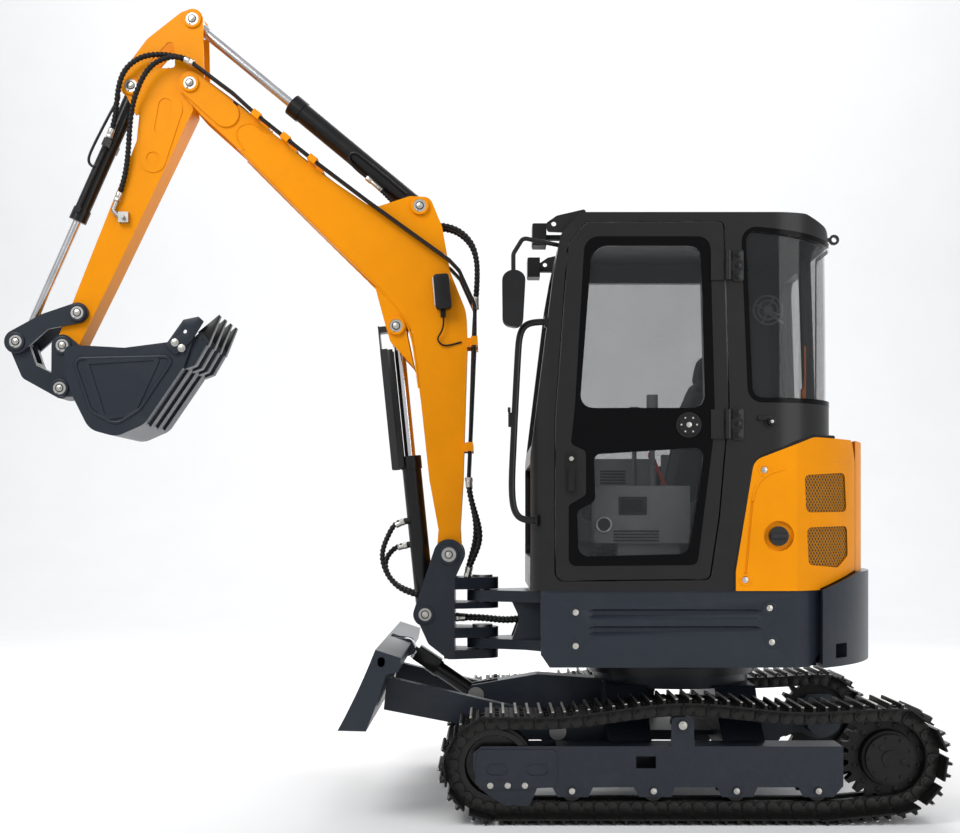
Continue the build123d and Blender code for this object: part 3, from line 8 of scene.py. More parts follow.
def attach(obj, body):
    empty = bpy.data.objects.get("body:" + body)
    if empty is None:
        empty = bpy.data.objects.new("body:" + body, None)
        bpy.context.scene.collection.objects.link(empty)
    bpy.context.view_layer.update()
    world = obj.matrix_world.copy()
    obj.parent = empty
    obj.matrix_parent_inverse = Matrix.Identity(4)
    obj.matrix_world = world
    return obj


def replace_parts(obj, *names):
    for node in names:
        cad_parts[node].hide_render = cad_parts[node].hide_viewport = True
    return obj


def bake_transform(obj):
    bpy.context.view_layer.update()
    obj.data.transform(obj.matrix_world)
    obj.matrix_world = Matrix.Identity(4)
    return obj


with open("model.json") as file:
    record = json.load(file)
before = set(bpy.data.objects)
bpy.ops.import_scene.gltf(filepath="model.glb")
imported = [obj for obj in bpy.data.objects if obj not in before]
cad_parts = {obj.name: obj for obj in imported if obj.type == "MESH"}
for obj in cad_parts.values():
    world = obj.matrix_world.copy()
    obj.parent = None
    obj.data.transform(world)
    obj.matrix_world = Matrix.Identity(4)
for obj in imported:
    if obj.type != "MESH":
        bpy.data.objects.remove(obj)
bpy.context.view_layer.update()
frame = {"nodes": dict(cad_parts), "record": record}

scene = bpy.context.scene


# materials: a small wrapper so that shader sums read as sums

class Sock:
    """One value in a node tree; sums and products of it make maths nodes."""

    def __init__(self, mat, socket):
        self.mat = mat
        self.socket = socket

    def __add__(self, other):
        return self.mat.math("ADD", self, other)

    def __sub__(self, other):
        return self.mat.math("SUBTRACT", self, other)

    def __mul__(self, other):
        return self.mat.math("MULTIPLY", self, other)

    def __rsub__(self, other):
        return self.mat.math("SUBTRACT", other, self)

    __radd__ = __add__
    __rmul__ = __mul__

    def ramp(self, low, high):
        """A smooth step from nought at low to one at high."""
        return self.mat.node("MapRange", {0: self, 1: low, 2: high}, interpolation_type="SMOOTHSTEP")


class Mat:
    """A material with one principled shader."""

    def __init__(self, name, **settings):
        self.data = bpy.data.materials.new(name)
        self.data.use_nodes = True
        self.tree = self.data.node_tree
        self.shader = self.tree.nodes["Principled BSDF"]
        self.where = self.node("TexCoord", {}, "Object")
        for key, value in settings.items():
            self.set(key, value)

    def node(self, kind, sockets, output=0, **settings):
        """Any shader node: its settings first, then its sockets' values or links by name or number."""
        made = self.tree.nodes.new("ShaderNode" + kind)
        for key, value in settings.items():
            setattr(made, key, value)
        for key, value in sockets.items():
            self.feed(made.inputs[key], value)
        return Sock(self, made.outputs[output])

    def feed(self, slot, value):
        if isinstance(value, Sock):
            self.tree.links.new(value.socket, slot)
        else:
            slot.default_value = value

    def set(self, key, value):
        self.feed(self.shader.inputs[key.replace("_", " ")], value)

    def math(self, operation, first, second):
        return self.node("Math", {0: first, 1: second}, operation=operation)

    def noise(self, scale, detail, rough=0.5):
        sockets = {"Vector": self.where, "Scale": scale, "Detail": detail, "Roughness": rough}
        return self.node("TexNoise", sockets)

    def mix(self, share, first, second):
        return self.node("Mix", {0: share, 6: first, 7: second}, 2, data_type="RGBA")

    def axis(self, letter):
        return self.node("SeparateXYZ", {0: self.where}, letter)

    def bump(self, height, strength, distance):
        sockets = {"Strength": strength, "Distance": distance, "Height": height}
        self.set("Normal", self.node("Bump", sockets))


DUST = (0.16, 0.135, 0.105, 1.0)
MOULDED_SHINE = 0.25
GLASS_SHINE = 0.8


def shade(colour, share=1.0):
    """A colour, darkened to a share of itself, with its alpha."""
    return tuple(c * share for c in colour) + (1.0,)


def paint(name, colour, rough, coat, dust, dust_top, shine):
    """Sprayed paint: a little mottle, orange peel and dust that gathers low down."""
    m = Mat(name, Coat_Weight=coat, Coat_Roughness=0.2, Specular_IOR_Level=shine)
    mottle = m.noise(2.2, 5.0, 0.6)
    fine = m.noise(60.0, 4.0, 0.6)
    base = m.mix(mottle.ramp(0.3, 0.7) * 0.35, shade(colour), shade(colour, 0.72))
    low = m.axis("Z").ramp(dust_top, 0.0) * fine.ramp(0.35, 0.75) * 0.8
    patch = m.noise(7.0, 6.0, 0.65).ramp(0.5, 0.75) * dust + low * dust
    m.set("Base Color", m.mix(patch, base, DUST))
    m.set("Roughness", mottle * 0.12 + fine * 0.08 + patch * 0.3 + (rough - 0.1))
    m.bump(m.noise(220.0, 2.0), 0.05, 0.0006)
    return m.data


def metal(name, colour, rough, scale=300.0, metallic=1.0, depth=0.08):
    """Bare metal with a fine grain and darker patches."""
    m = Mat(name, Metallic=metallic)
    grain = m.noise(scale, 3.0, 0.6)
    broad = m.noise(9.0, 4.0, 0.6)
    m.set("Base Color", m.mix(broad.ramp(0.35, 0.75) * 0.5, shade(colour), shade(colour, 0.6)))
    m.set("Roughness", grain * 0.12 + broad * 0.1 + (rough - 0.1))
    m.bump(grain, depth, 0.0004)
    return m.data


def plain(name, colour, rough, grain_scale=180.0, depth=0.1):
    """Moulded plastic, rubber or cloth with a fine grain."""
    m = Mat(name, Specular_IOR_Level=MOULDED_SHINE)
    grain = m.noise(grain_scale, 2.0)
    broad = m.noise(5.0, 4.0, 0.6)
    light = tuple(min(1.0, c * 1.7 + 0.004) for c in colour) + (1.0,)
    m.set("Base Color", m.mix(broad.ramp(0.35, 0.8) * 0.5, shade(colour), light))
    m.set("Roughness", broad * 0.15 + (rough - 0.07))
    m.bump(grain, depth, 0.0008)
    return m.data


def pane(name, tint, clear):
    """Window glass: mostly see-through, with a faint smear."""
    m = Mat(name, Specular_IOR_Level=GLASS_SHINE)
    smear = m.noise(3.0, 5.0, 0.7)
    m.set("Base Color", m.mix(smear.ramp(0.3, 0.8) * 0.5, shade(tint), shade(tint, 0.7)))
    m.set("Roughness", smear.ramp(0.5, 0.9) * 0.05 + 0.02)
    m.set("Alpha", smear.ramp(0.3, 0.9) * 0.03 + (1.0 - clear))
    return m.data


YELLOW = paint("yellow paint", (0.84, 0.285, 0.0006), 0.4, 0.02, 0.012, 0.0, 0.09)
SLATE = paint("slate paint", (0.016, 0.0215, 0.031), 0.36, 0.08, 0.05, 0.6, 0.28)
CAB = paint("cab paint", (0.0112, 0.0106, 0.0104), 0.34, 0.1, 0.02, 0.0, 0.26)
BLACK = paint("black paint", (0.0045, 0.0045, 0.005), 0.3, 0.1, 0.03, 0.6, 0.3)
PIN = metal("pin steel", (0.5, 0.49, 0.47), 0.38)
CHROME = metal("chrome rod", (0.66, 0.66, 0.67), 0.22, 40.0, 1.0, 0.0)
RUBBER = plain("rubber", (0.0045, 0.0045, 0.005), 0.5)
PLASTIC = plain("black plastic", (0.007, 0.007, 0.0075), 0.42)
GREY_PLASTIC = plain("grey plastic", (0.16, 0.165, 0.17), 0.5)
FABRIC = plain("seat cloth", (0.014, 0.014, 0.016), 0.85, 500.0, 0.4)
GLASS = pane("cab glass", (0.02, 0.023, 0.025), 0.74)
IRON = plain("engine iron", (0.02, 0.02, 0.02), 0.6)
TRACK = paint("track steel", (0.0048, 0.0046, 0.0044), 0.45, 0.0, 0.035, 0.9, 0.25)
LENS = pane("lamp lens", (0.8, 0.82, 0.85), 0.35)
FITTING = metal("fitting steel", (0.62, 0.6, 0.55), 0.34)

# the boom rod's axis in side view: its normal and its distance from the origin, in metres
ROD_NORMAL = (0.9949, -0.1007)
ROD_OFFSET = 1.0419
GUARD_AHEAD = (0.040, 0.042)
CAP_FROM = (-0.416, -0.414)


def guarded_rod():
    """Chrome, and paint on the guard in front of the rod, told apart by the distance from its axis."""
    m = Mat("rod with guard")
    ahead = m.axis("X") * ROD_NORMAL[0] + m.axis("Z") * ROD_NORMAL[1] - ROD_OFFSET
    guard = ahead.ramp(*GUARD_AHEAD)
    grain = m.noise(400.0, 3.0)
    m.set("Base Color", m.mix(guard, (0.78, 0.78, 0.79, 1.0), (0.012, 0.012, 0.013, 1.0)))
    m.set("Metallic", 1.0 - guard)
    m.set("Roughness", grain * 0.08 + guard * 0.25 + 0.1)
    return m.data


def grille_shade_sheet():
    """A dark sheet behind the grille's wires, its two browns painted shade for the recess behind them, with
    a dusty mottle; the filler cap in front of it is black.
    """
    m = Mat("grille painted shade sheet")
    cap = m.axis("X").ramp(*CAP_FROM)
    dirt = m.noise(30.0, 4.0).ramp(0.3, 0.7)
    # painted shade: the two dark browns stand for the shaded recess behind the wires
    sheet = m.mix(dirt * 0.6, (0.045, 0.022, 0.006, 1.0), (0.11, 0.055, 0.014, 1.0))
    m.set("Base Color", m.mix(cap, sheet, (0.006, 0.006, 0.007, 1.0)))
    m.set("Roughness", dirt * 0.2 + 0.4)
    return m.data


own_finish = {
    "boom_rod": guarded_rod(), "panel_fittings": grille_shade_sheet(), "consoles": GREY_PLASTIC,
    "slew_ring_fixed": BLACK, "slew_ring_turning": BLACK,
}
slot_finish = {
    "yellow_paint": YELLOW, "dark_paint": SLATE, "cab_paint": CAB, "black_paint": BLACK,
    "track_steel": TRACK, "cast_weight": SLATE, "pin_steel": PIN, "chrome_rod": CHROME, "glass": GLASS,
    "black_plastic": PLASTIC, "seat_fabric": FABRIC, "engine_iron": IRON, "hose_rubber": RUBBER,
    "lamp_plastic": PLASTIC,
}
for part in frame["record"]["subparts"]:
    finishes = frame["nodes"][part["node"]].data.materials
    finishes.clear()
    finishes.append(own_finish.get(part["node"], slot_finish[part["material_slot"]]))


# shapes: places are in millimetres, as in the part's source

UNIT = 0.001
DOOR_Y = 740.0
WASHER = 2.5
SHARP = math.radians(35)
BOTH = (1, -1)


class Shape:
    """Collects simple forms in one mesh and turns them into a piece that rides on a body."""

    def __init__(self):
        self.bm = bmesh.new()

    def box(self, low, high, turn=None):
        middle = [(a + b) / 2 for a, b in zip(low, high)]
        spread = Matrix.Diagonal([abs(b - a) for a, b in zip(low, high)] + [1.0])
        place = Matrix.Translation(middle) @ (turn or Matrix.Identity(4)) @ spread
        bmesh.ops.create_cube(self.bm, size=1.0, matrix=place)
        return self

    def bar(self, start, end, radius, sides=16, end_radius=None):
        start, end = Vector(start), Vector(end)
        line = end - start
        place = Matrix.Translation((start + end) / 2) @ line.to_track_quat("Z", "Y").to_matrix().to_4x4()
        tip = radius if end_radius is None else end_radius
        sizes = dict(radius1=radius, radius2=tip, depth=line.length)
        bmesh.ops.create_cone(self.bm, cap_ends=True, segments=sides, matrix=place, **sizes)
        return self

    def ball(self, at, radii, rings=10):
        place = Matrix.Translation(at) @ Matrix.Diagonal(list(radii) + [1.0])
        bmesh.ops.create_uvsphere(self.bm, u_segments=2 * rings, v_segments=rings, radius=1.0, matrix=place)
        return self

    def bolt(self, at, way, radius=9.0, height=7.0, washer=True):
        """A hexagon head on its washer."""
        at, way = Vector(at), Vector(way).normalized()
        if washer:
            self.bar(at, at + way * WASHER, radius * 1.6, 18)
        return self.bar(at, at + way * (height + WASHER), radius, 6)

    def plate(self, points, y_from, y_to, holes=()):
        """A flat plate from side view outlines, with holes."""
        edges = []
        for ring in [points] + list(holes):
            verts = [self.bm.verts.new((x, y_from, z)) for x, z in ring]
            edges += [self.bm.edges.new((verts[i - 1], verts[i])) for i in range(len(verts))]
        made = bmesh.ops.triangle_fill(self.bm, use_beauty=True, use_dissolve=False, edges=edges)
        faces = [f for f in made["geom"] if isinstance(f, bmesh.types.BMFace)]
        grown = bmesh.ops.extrude_face_region(self.bm, geom=faces)
        moved = [v for v in grown["geom"] if isinstance(v, bmesh.types.BMVert)]
        bmesh.ops.translate(self.bm, verts=moved, vec=(0, y_to - y_from, 0))
        return self

    def rings(self, line, radii, sides=12):
        """A skin of rings along a line of points, closed at both ends."""
        frame_x = None
        loops = []
        for i, at in enumerate(line):
            ahead = (line[min(i + 1, len(line) - 1)] - line[max(i - 1, 0)]).normalized()
            if frame_x is None:
                frame_x = ahead.orthogonal().normalized()
            frame_x = (frame_x - ahead * frame_x.dot(ahead)).normalized()
            frame_y = ahead.cross(frame_x)
            loop = []
            for k in range(sides):
                angle = 2 * math.pi * k / sides
                way = frame_x * math.cos(angle) + frame_y * math.sin(angle)
                loop.append(self.bm.verts.new(at + way * radii[i]))
            loops.append(loop)
        for first, second in zip(loops, loops[1:]):
            for k in range(sides):
                self.bm.faces.new((first[k], first[(k + 1) % sides], second[(k + 1) % sides], second[k]))
        self.bm.faces.new(list(reversed(loops[0])))
        self.bm.faces.new(loops[-1])
        return self

    def tube(self, line, radius, sides=12):
        return self.rings(line, [radius] * len(line), sides)

    def done(self, name, body, material, slot, bevel=0.0, smooth=40.0):
        """The finished piece, with its sharp edges broken, on a body or on none."""
        bmesh.ops.recalc_face_normals(self.bm, faces=self.bm.faces)
        if bevel:
            sharp = [e for e in self.bm.edges if e.is_manifold and e.calc_face_angle() > SHARP]
            bmesh.ops.bevel(
                self.bm, geom=sharp, offset=bevel, segments=2, profile=0.5, material=-1,
                affect="EDGES", clamp_overlap=True,
            )
        bmesh.ops.scale(self.bm, verts=self.bm.verts, vec=(UNIT, UNIT, UNIT))
        name = name.replace(" ", "_")
        mesh = bpy.data.meshes.new(name)
        self.bm.to_mesh(mesh)
        self.bm.free()
        mesh.polygons.foreach_set("use_smooth", [True] * len(mesh.polygons))
        mesh.set_sharp_from_angle(angle=math.radians(smooth))
        mesh.materials.append(material)
        piece = bpy.data.objects.new(name, mesh)
        scene.collection.objects.link(piece)
        if body:
            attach(piece, body)
        return piece


def rounded(points, radius, steps=5):
    """Corners of a side view outline turned into arcs."""
    out = []
    count = len(points)
    for i in range(count):
        here = Vector(points[i][:2])
        r = points[i][2] if len(points[i]) > 2 else radius
        before = (Vector(points[i - 1][:2]) - here).normalized()
        after = (Vector(points[(i + 1) % count][:2]) - here).normalized()
        half = before.angle(after) / 2
        centre = here + (before + after).normalized() * (r / math.sin(half))
        first = here + before * (r / math.tan(half)) - centre
        last = here + after * (r / math.tan(half)) - centre
        sweep = first.angle_signed(last)
        for k in range(steps + 1):
            angle = -sweep * k / steps
            turn = Matrix(((math.cos(angle), -math.sin(angle)), (math.sin(angle), math.cos(angle))))
            out.append(tuple(centre + turn @ first))
    return out


def smooth_line(points, step):
    """Points at even steps along the spline whose control points are given."""
    curve = bpy.data.curves.new("route", "CURVE")
    curve.dimensions = "3D"
    spline = curve.splines.new("NURBS")
    spline.points.add(len(points) - 1)
    for point, at in zip(spline.points, points):
        point.co = (at[0], at[1], at[2], 1.0)
    spline.order_u = 4
    spline.use_endpoint_u = True
    spline.resolution_u = 24
    holder = bpy.data.objects.new("route", curve)
    scene.collection.objects.link(holder)
    mesh = holder.to_mesh()
    line = [v.co.copy() for v in mesh.vertices]
    holder.to_mesh_clear()
    bpy.data.objects.remove(holder)
    bpy.data.curves.remove(curve)
    out = [line[0]]
    left = step
    for first, second in zip(line, line[1:]):
        gap = (second - first).length
        while gap > 0 and left <= gap:
            out.append(first.lerp(second, left / gap))
            left += step
        left -= gap
    return out


HOSE_R = 13.0
NUT_END = 14
SLEEVE_END = 44


def ribbed(shape, points, radius=HOSE_R, pitch=19.0):
    """A hose in its spiral guard."""
    line = smooth_line(points, pitch / 4)
    radii = [radius * (0.8 if i % 4 in (0, 3) else 1.02) for i in range(len(line))]
    shape.rings(line, radii, 12)
    return line


def crimps(shape, line):
    """The pressed sleeve and nut at both ends of a hose."""
    for ends in ((line[0], line[min(12, len(line) - 1)]), (line[-1], line[max(-13, -len(line))])):
        way = (ends[1] - ends[0]).normalized()
        shape.bar(ends[0], ends[0] + way * NUT_END, HOSE_R * 1.3, 6)
        shape.bar(ends[0] + way * NUT_END, ends[0] + way * SLEEVE_END, HOSE_R * 1.15, 16)


# hoses

def hose_set(name, node, routes, first, second, start, end):
    """Hoses that cross a joint between two bodies, with their fittings, put on neither body."""
    hoses = Shape()
    nuts = Shape()
    for side, points in routes:
        crimps(nuts, ribbed(hoses, [(x, side * y, z) for x, y, z in points]))
    pieces = [hoses.done(name, None, RUBBER, "hose_rubber")]
    pieces.append(nuts.done(name + " fittings", None, FITTING, "pin_steel", 0.6))
    for piece in pieces:
        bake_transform(piece)
    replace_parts(pieces[0], node)


arm_inner = [
    (2180, 104, 3318), (2234, 104, 3358), (2353, 114, 3372), (2440, 120, 3347),
    (2504, 122, 3288), (2532, 116, 3195), (2551, 66, 3067), (2583, 66, 2994),
]
arm_outer = [
    (2180, 132, 3318), (2234, 132, 3358), (2335, 136, 3342), (2399, 134, 3280), (2442, 130, 3190),
    (2468, 122, 3095), (2479, 108, 2975), (2490, 96, 2856), (2514, 90, 2765), (2540, 90, 2700),
]
arm_routes = [(side, route) for side in BOTH for route in (arm_inner, arm_outer)]
hose_set("arm hose", "arm_hoses", arm_routes, "boom", "arm", (2180, 0, 3318), (2530, 0, 2960))

foot_routes = []
for y, bow, end_x, end_y in ((40, 896, 940, 28), (104, 862, 938, 59), (132, 862, 940, 90)):
    route = [
        (932.6, y, 1440), (935, y, 1380), (900, y, 1270), (bow, (y + end_y) / 2, 1140),
        (end_x, end_y, 1030), (end_x, end_y, 985),
    ]
    foot_routes += [(side, route) for side in BOTH]
hose_set("foot hose", "foot_hoses", foot_routes, "swing_post", "boom", (938, 0, 1000), (933, 0, 1440))

sag = ((500, 798), (620, 798), (700, 790), (760, 784), (820, 790), (900, 798), (995, 798))
post_routes = [(side, [(x, y, z) for x, z in sag]) for y in (24, 56) for side in BOTH]
hose_set("post hose", "post_hoses", post_routes, "upper", "swing_post", (700, 0, 798), (980, 0, 798))

upper_port = [(1231, 24, 1241), (1273, 24, 1237), (1300, 34, 1185), (1340, 34, 1095), (1318, 34, 1005)]
lower_port = [(1220, 24, 1131), (1262, 24, 1127), (1295, 34, 1105), (1330, 34, 1050), (1308, 34, 980)]
port_end = [(1255, 62, 930), (1165, 71, 902), (1090, 71, 882), (1020, 71, 882)]
loop_routes = [(1, upper_port + port_end), (-1, lower_port + port_end)]
loop_span = ((1230, 0, 1200), (1150, 0, 900))
hose_set("cylinder hose", "cylinder_hoses", loop_routes, "boom_cylinder", "swing_post", *loop_span)


# pipes on the boom, the loop at its lug and the lamp

BOOM_PIPE_R = 8.0
PIPE_BEND = 14
long_pipe = [
    (2180, 3318), (2001, 3184), (1905, 3096), (1612, 2862), (1384, 2690), (1199, 2556),
    (1020, 2428), (975, 2380), (905, 2226), (905, 2080), (930, 1500), (932.6, 1440),
]
rear_pipe = [(903, 2226), (908, 2164), (912, 2080), (930, 1500), (932.6, 1440)]
lug_loop = [
    (1180, 40, 2528), (1144, 40, 2576), (1090, 40, 2606), (1046, 40, 2602), (985, 40, 2588),
    (925, 40, 2537), (897, 40, 2470), (890, 40, 2386), (903, 40, 2226),
]
boom_pipes = Shape()
boom_nuts = Shape()
for side in BOTH:
    for y, points in ((104, long_pipe), (132, long_pipe), (40, rear_pipe)):
        corners = [Vector((x, side * y, z)) for x, z in points]
        line = []
        for first, second in zip(corners, corners[1:]):
            run = (second - first).length
            stops = (0.0, min(0.4, PIPE_BEND / run), max(0.6, 1 - PIPE_BEND / run))
            line += [first.lerp(second, share) for share in stops]
        boom_pipes.tube(line + corners[-1:], BOOM_PIPE_R)
    hose = Shape()
    line = ribbed(hose, [(x, side * y, z) for x, y, z in lug_loop])
    hose.done("lug hose", "boom", RUBBER, "hose_rubber")
    crimps(boom_nuts, line)
pipes = boom_pipes.done("boom pipes", "boom", BLACK, "black_paint", 0, 60)
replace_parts(pipes, "boom_fittings")
boom_nuts.done("lug hose fittings", "boom", FITTING, "pin_steel", 0.6)

lamp = Shape().plate(rounded([(1008, 2206), (1022, 2362), (1092, 2356), (1080, 2200)], 14), 104, 164)
lamp.box((1036, 90, 2262), (1064, 108, 2304)).box((1036, 108, 2168), (1060, 122, 2214))
lamp.done("boom lamp", "boom", PLASTIC, "black_paint", 3)
glass = Shape().plate(rounded([(1080, 2216), (1092, 2344), (1097, 2344), (1085, 2216)], 2), 110, 158)
glass.done("boom lamp lens", "boom", LENS, "glass")
lead = [
    (1048, 115, 2172), (1040, 115, 2110), (1090, 108, 2080),
    (1050, 100, 2030), (1000, 94, 2050), (960, 94, 2060),
]
Shape().tube(smooth_line(lead, 8), 4.0, 8).done("lamp wire", "boom", RUBBER, "hose_rubber")


# tracks: link plates, chain pins, shoe bolts and worn grouser tips, shoe by shoe

TRACK_Y = 630.0
SHOE_HALF = 150.0
SHOE_GOAL = 101.6
CHAIN_Z = 56.0
SHOE_TOP = 36.0
GROUSER_TIP = 56.0
GROUSER_AT = (25.0, -25.0)
IDLER = Vector((815.0, 232.0))
IDLER_PITCH = 176.0
SPROCKET = Vector((-815.0, 262.0))
SPROCKET_PITCH = 180.0
LAST_FLAT = -560.0
CREST = [(-815, 442), (-440, 428), (40, 464), (520, 412), (815, 408)]


def crest_height(x):
    """The top run between the wheels, a smooth curve over its carrier roller."""
    for i in range(len(CREST) - 1):
        (x0, z0), (x1, z1) = CREST[i], CREST[i + 1]
        if x <= x1:
            slopes = []
            for k in (i, i + 1):
                if 0 < k < len(CREST) - 1:
                    before, after = CREST[k - 1], CREST[k + 1]
                    slopes.append((after[1] - before[1]) / (after[0] - before[0]))
                else:
                    slopes.append(0.0)
            t = (x - x0) / (x1 - x0)
            rise = z1 - z0
            bend = (x1 - x0) * (t * (1 - t) ** 2 * slopes[0] - t * t * (1 - t) * slopes[1])
            return z0 + rise * t * t * (3 - 2 * t) + bend
    return CREST[-1][1]


def chain_line():
    """The closed middle line of the links, from under the idler and round by the rear."""
    reach = SPROCKET - Vector((LAST_FLAT, CHAIN_Z))
    heading = math.atan2(reach.y, reach.x) + math.asin(SPROCKET_PITCH / reach.length)
    touch = math.atan2(-abs(math.cos(heading)), -abs(math.sin(heading)))
    line = [Vector((IDLER.x, CHAIN_Z)), Vector((LAST_FLAT, CHAIN_Z))]
    for k in range(25):
        angle = touch + (-1.5 * math.pi - touch) * k / 24
        line.append(SPROCKET + SPROCKET_PITCH * Vector((math.cos(angle), math.sin(angle))))
    for k in range(1, 60):
        x = SPROCKET.x + (IDLER.x - SPROCKET.x) * k / 60
        line.append(Vector((x, crest_height(x))))
    for k in range(25):
        angle = math.pi / 2 - math.pi * k / 24
        line.append(IDLER + IDLER_PITCH * Vector((math.cos(angle), math.sin(angle))))
    return line


def shoe_places():
    """Middle point and direction of travel of each shoe."""
    line = chain_line()
    runs = [(second - first).length for first, second in zip(line, line[1:])]
    count = round(sum(runs) / SHOE_GOAL)
    pitch = sum(runs) / count
    places = []
    left = pitch / 2
    for first, second, run in zip(line, line[1:], runs):
        while left <= run:
            places.append((first.lerp(second, left / run), (second - first).normalized()))
            left += pitch
        left -= run
    return places, pitch


def shoe_spot(place, side, along, outward, y):
    """A point of a shoe, by its way along the chain, out of the loop and across the track."""
    at, ahead = place
    flat = at + ahead * along + Vector((-ahead.y, ahead.x)) * outward
    return Vector((flat.x, side * TRACK_Y + y, flat.y))


WORN = metal("worn track steel", (0.62, 0.6, 0.57), 0.45)
LINK = metal("track link steel", (0.024, 0.0225, 0.021), 0.45, 120.0, 0.6)
CHEEK_Y = (66, 73)
CHEEK_IN = -4
TIP_HALF = Vector((5.1, SHOE_HALF + 0.4, 1.8))

for side, name in ((1, "left"), (-1, "right")):
    links, bolts, tips = Shape(), Shape(), Shape()
    places, pitch = shoe_places()
    cheek_half = Vector((pitch / 2 - 6, 3, 15))
    for place in places:
        turn = Matrix.Rotation(-math.atan2(place[1].y, place[1].x), 4, "Y")
        for cheek in BOTH:
            for end in (-pitch / 4, pitch / 4):
                ends = [shoe_spot(place, side, end, CHEEK_IN, cheek * y) for y in CHEEK_Y]
                links.bar(ends[0], ends[1], 23, 14)
            middle = shoe_spot(place, side, 0, 6, cheek * 69)
            links.box(middle - cheek_half, middle + cheek_half, turn)
        ends = [shoe_spot(place, side, pitch / 4, CHEEK_IN, y) for y in (-78, 78)]
        links.bar(ends[0], ends[1], 12, 12)
        for y in (-112, -52, 52, 112):
            seat = shoe_spot(place, side, 0, SHOE_TOP, y)
            bolts.bolt(seat, shoe_spot(place, side, 0, SHOE_TOP + 1, y) - seat, 9, 6, False)
        for along in GROUSER_AT:
            middle = shoe_spot(place, side, along, GROUSER_TIP - 1.5, 0)
            tips.box(middle - TIP_HALF, middle + TIP_HALF, turn)
    links.done("track links " + name, "undercarriage", LINK, "track_steel", 1.2)
    bolts.done("shoe bolts " + name, "undercarriage", TRACK, "track_steel")
    tips.done("grouser tips " + name, "undercarriage", WORN, "track_steel")


# bolts of the track frames, the sprockets and the drive covers

FRAME_FACE = 708.0
ROLLER_Z = 129.3


def drive_spot(angle, radius, side, y):
    """A point round the sprocket's axis, at a distance out from the track's middle."""
    across = SPROCKET + radius * Vector((math.cos(angle), math.sin(angle)))
    return (across.x, side * (TRACK_Y + y), across.y)


rollers = Shape()
drive = Shape()
for side in BOTH:
    out = (0, side, 0)
    for x in (834, 762, 691):
        rollers.bolt((x, side * (FRAME_FACE + 5.5), 152), out, 8, 7)
    for x in (497, 160, -182, -520):
        rollers.bolt((x, side * (FRAME_FACE + 8), ROLLER_Z), out, 8, 7)
    rollers.bolt((40, side * (FRAME_FACE + 8), 400), out, 11, 8)
    for k in range(12):
        drive.bolt(drive_spot(2 * math.pi * (k + 0.5) / 12, 138, side, 23), out, 9, 8)
    for k in range(9):
        drive.bolt(drive_spot(2 * math.pi * k / 9, 86, side, 83), out, 6, 5, False)
    for angle in (0.9, 3.4):
        drive.bar(drive_spot(angle, 56, side, 83), drive_spot(angle, 56, side, 87), 13, 16)
rollers.done("track frame bolts", "undercarriage", FITTING, "pin_steel", 0.8)
drive.done("drive bolts", "undercarriage", TRACK, "track_steel", 0.6)


# bolts and pin ends on the upper body and the work equipment

def circle(x, z, radius, count=32):
    angles = [2 * math.pi * k / count for k in range(count)]
    return [(x + radius * math.cos(a), z + radius * math.sin(a)) for a in angles]


def pin_ends(name, body, places, coat, slot, size=41):
    """A painted collar round each pin's cap, a bolt in its middle and a grease nipple."""
    bolts, dark, collar = Shape(), Shape(), Shape()
    for (x, z), y in places:
        for side in BOTH:
            collar.plate(circle(x, z, size), side * (y - 7), side * (y + 2.5), [circle(x, z, size - 12)])
            dark.bar((x, side * (y - 0.6), z), (x, side * (y + 0.8), z), 19, 24)
            bolts.bolt((x, side * y, z), (0, side, 0), 9, 6)
            bolts.bar((x + 12, side * (y - 1), z - 21), (x + 12, side * (y + 9), z - 21), 3.5, 8)
    bolts.done(name + " pin bolts", body, FITTING, "pin_steel", 0.6)
    dark.done(name + " pin rings", body, IRON, "pin_steel")
    collar.done(name + " pin collars", body, coat, slot, 1.5)


boom_pins = [((1155, 2680), 104), ((2203, 3239), 107), ((1263, 2132), 104)]
pin_ends("boom", "boom", boom_pins, YELLOW, "yellow_paint")
pin_ends("arm", "arm", [((2477, 3233), 83), ((2197, 3539), 83)], YELLOW, "yellow_paint")
pin_ends("guide", "arm", [((2716, 2192), 107)], SLATE, "dark_paint")
pin_ends("link", "guide_links", [((2997, 2061), 106)], SLATE, "dark_paint")
pin_ends("bucket", "bucket", [((2784, 2043), 108), ((2796, 1848), 108)], SLATE, "dark_paint")
pin_ends("foot", "swing_post", [((1022, 1090), 133)], SLATE, "dark_paint", 45)
pin_ends("post", "swing_post", [((1130, 818), 133)], SLATE, "dark_paint")


# skirts: two long pressed grooves in each, their upper walls steep and their lower walls sloped

SKIRT_FACE = 732.0
CUTTER_FACE = SKIRT_FACE + 28
GROOVE_BED = SKIRT_FACE - 17
GROOVE_WALLS = (8.0, 17.0)
GROOVE_ENDS = (
    (-284.0, 10.0, -14.0, False), (-258.0, 21.0, -21.0, True),
    (408.0, 21.0, -21.0, True), (434.0, 10.0, -14.0, False),
)
GROOVE_HEIGHTS = (790.0, 860.0)


def cut_copy(node, cutter):
    """A copy of a CAD piece, its triangles joined, with a shape cut out of it."""
    blank = Shape()
    blank.bm.from_mesh(frame["nodes"][node].data)
    bmesh.ops.scale(blank.bm, verts=blank.bm.verts, vec=(1 / UNIT, 1 / UNIT, 1 / UNIT))
    bmesh.ops.remove_doubles(blank.bm, verts=blank.bm.verts, dist=0.01)
    holders = []
    for shape in (blank, cutter):
        mesh = bpy.data.meshes.new("cut")
        shape.bm.to_mesh(mesh)
        shape.bm.free()
        holders.append(bpy.data.objects.new("cut", mesh))
        scene.collection.objects.link(holders[-1])
    knife = holders[0].modifiers.new("grooves", "BOOLEAN")
    knife.operation = "DIFFERENCE"
    knife.solver = "EXACT"
    knife.object = holders[1]
    made = Shape()
    made.bm.from_object(holders[0], bpy.context.evaluated_depsgraph_get())
    for holder in holders:
        bpy.data.meshes.remove(holder.data)
    return made


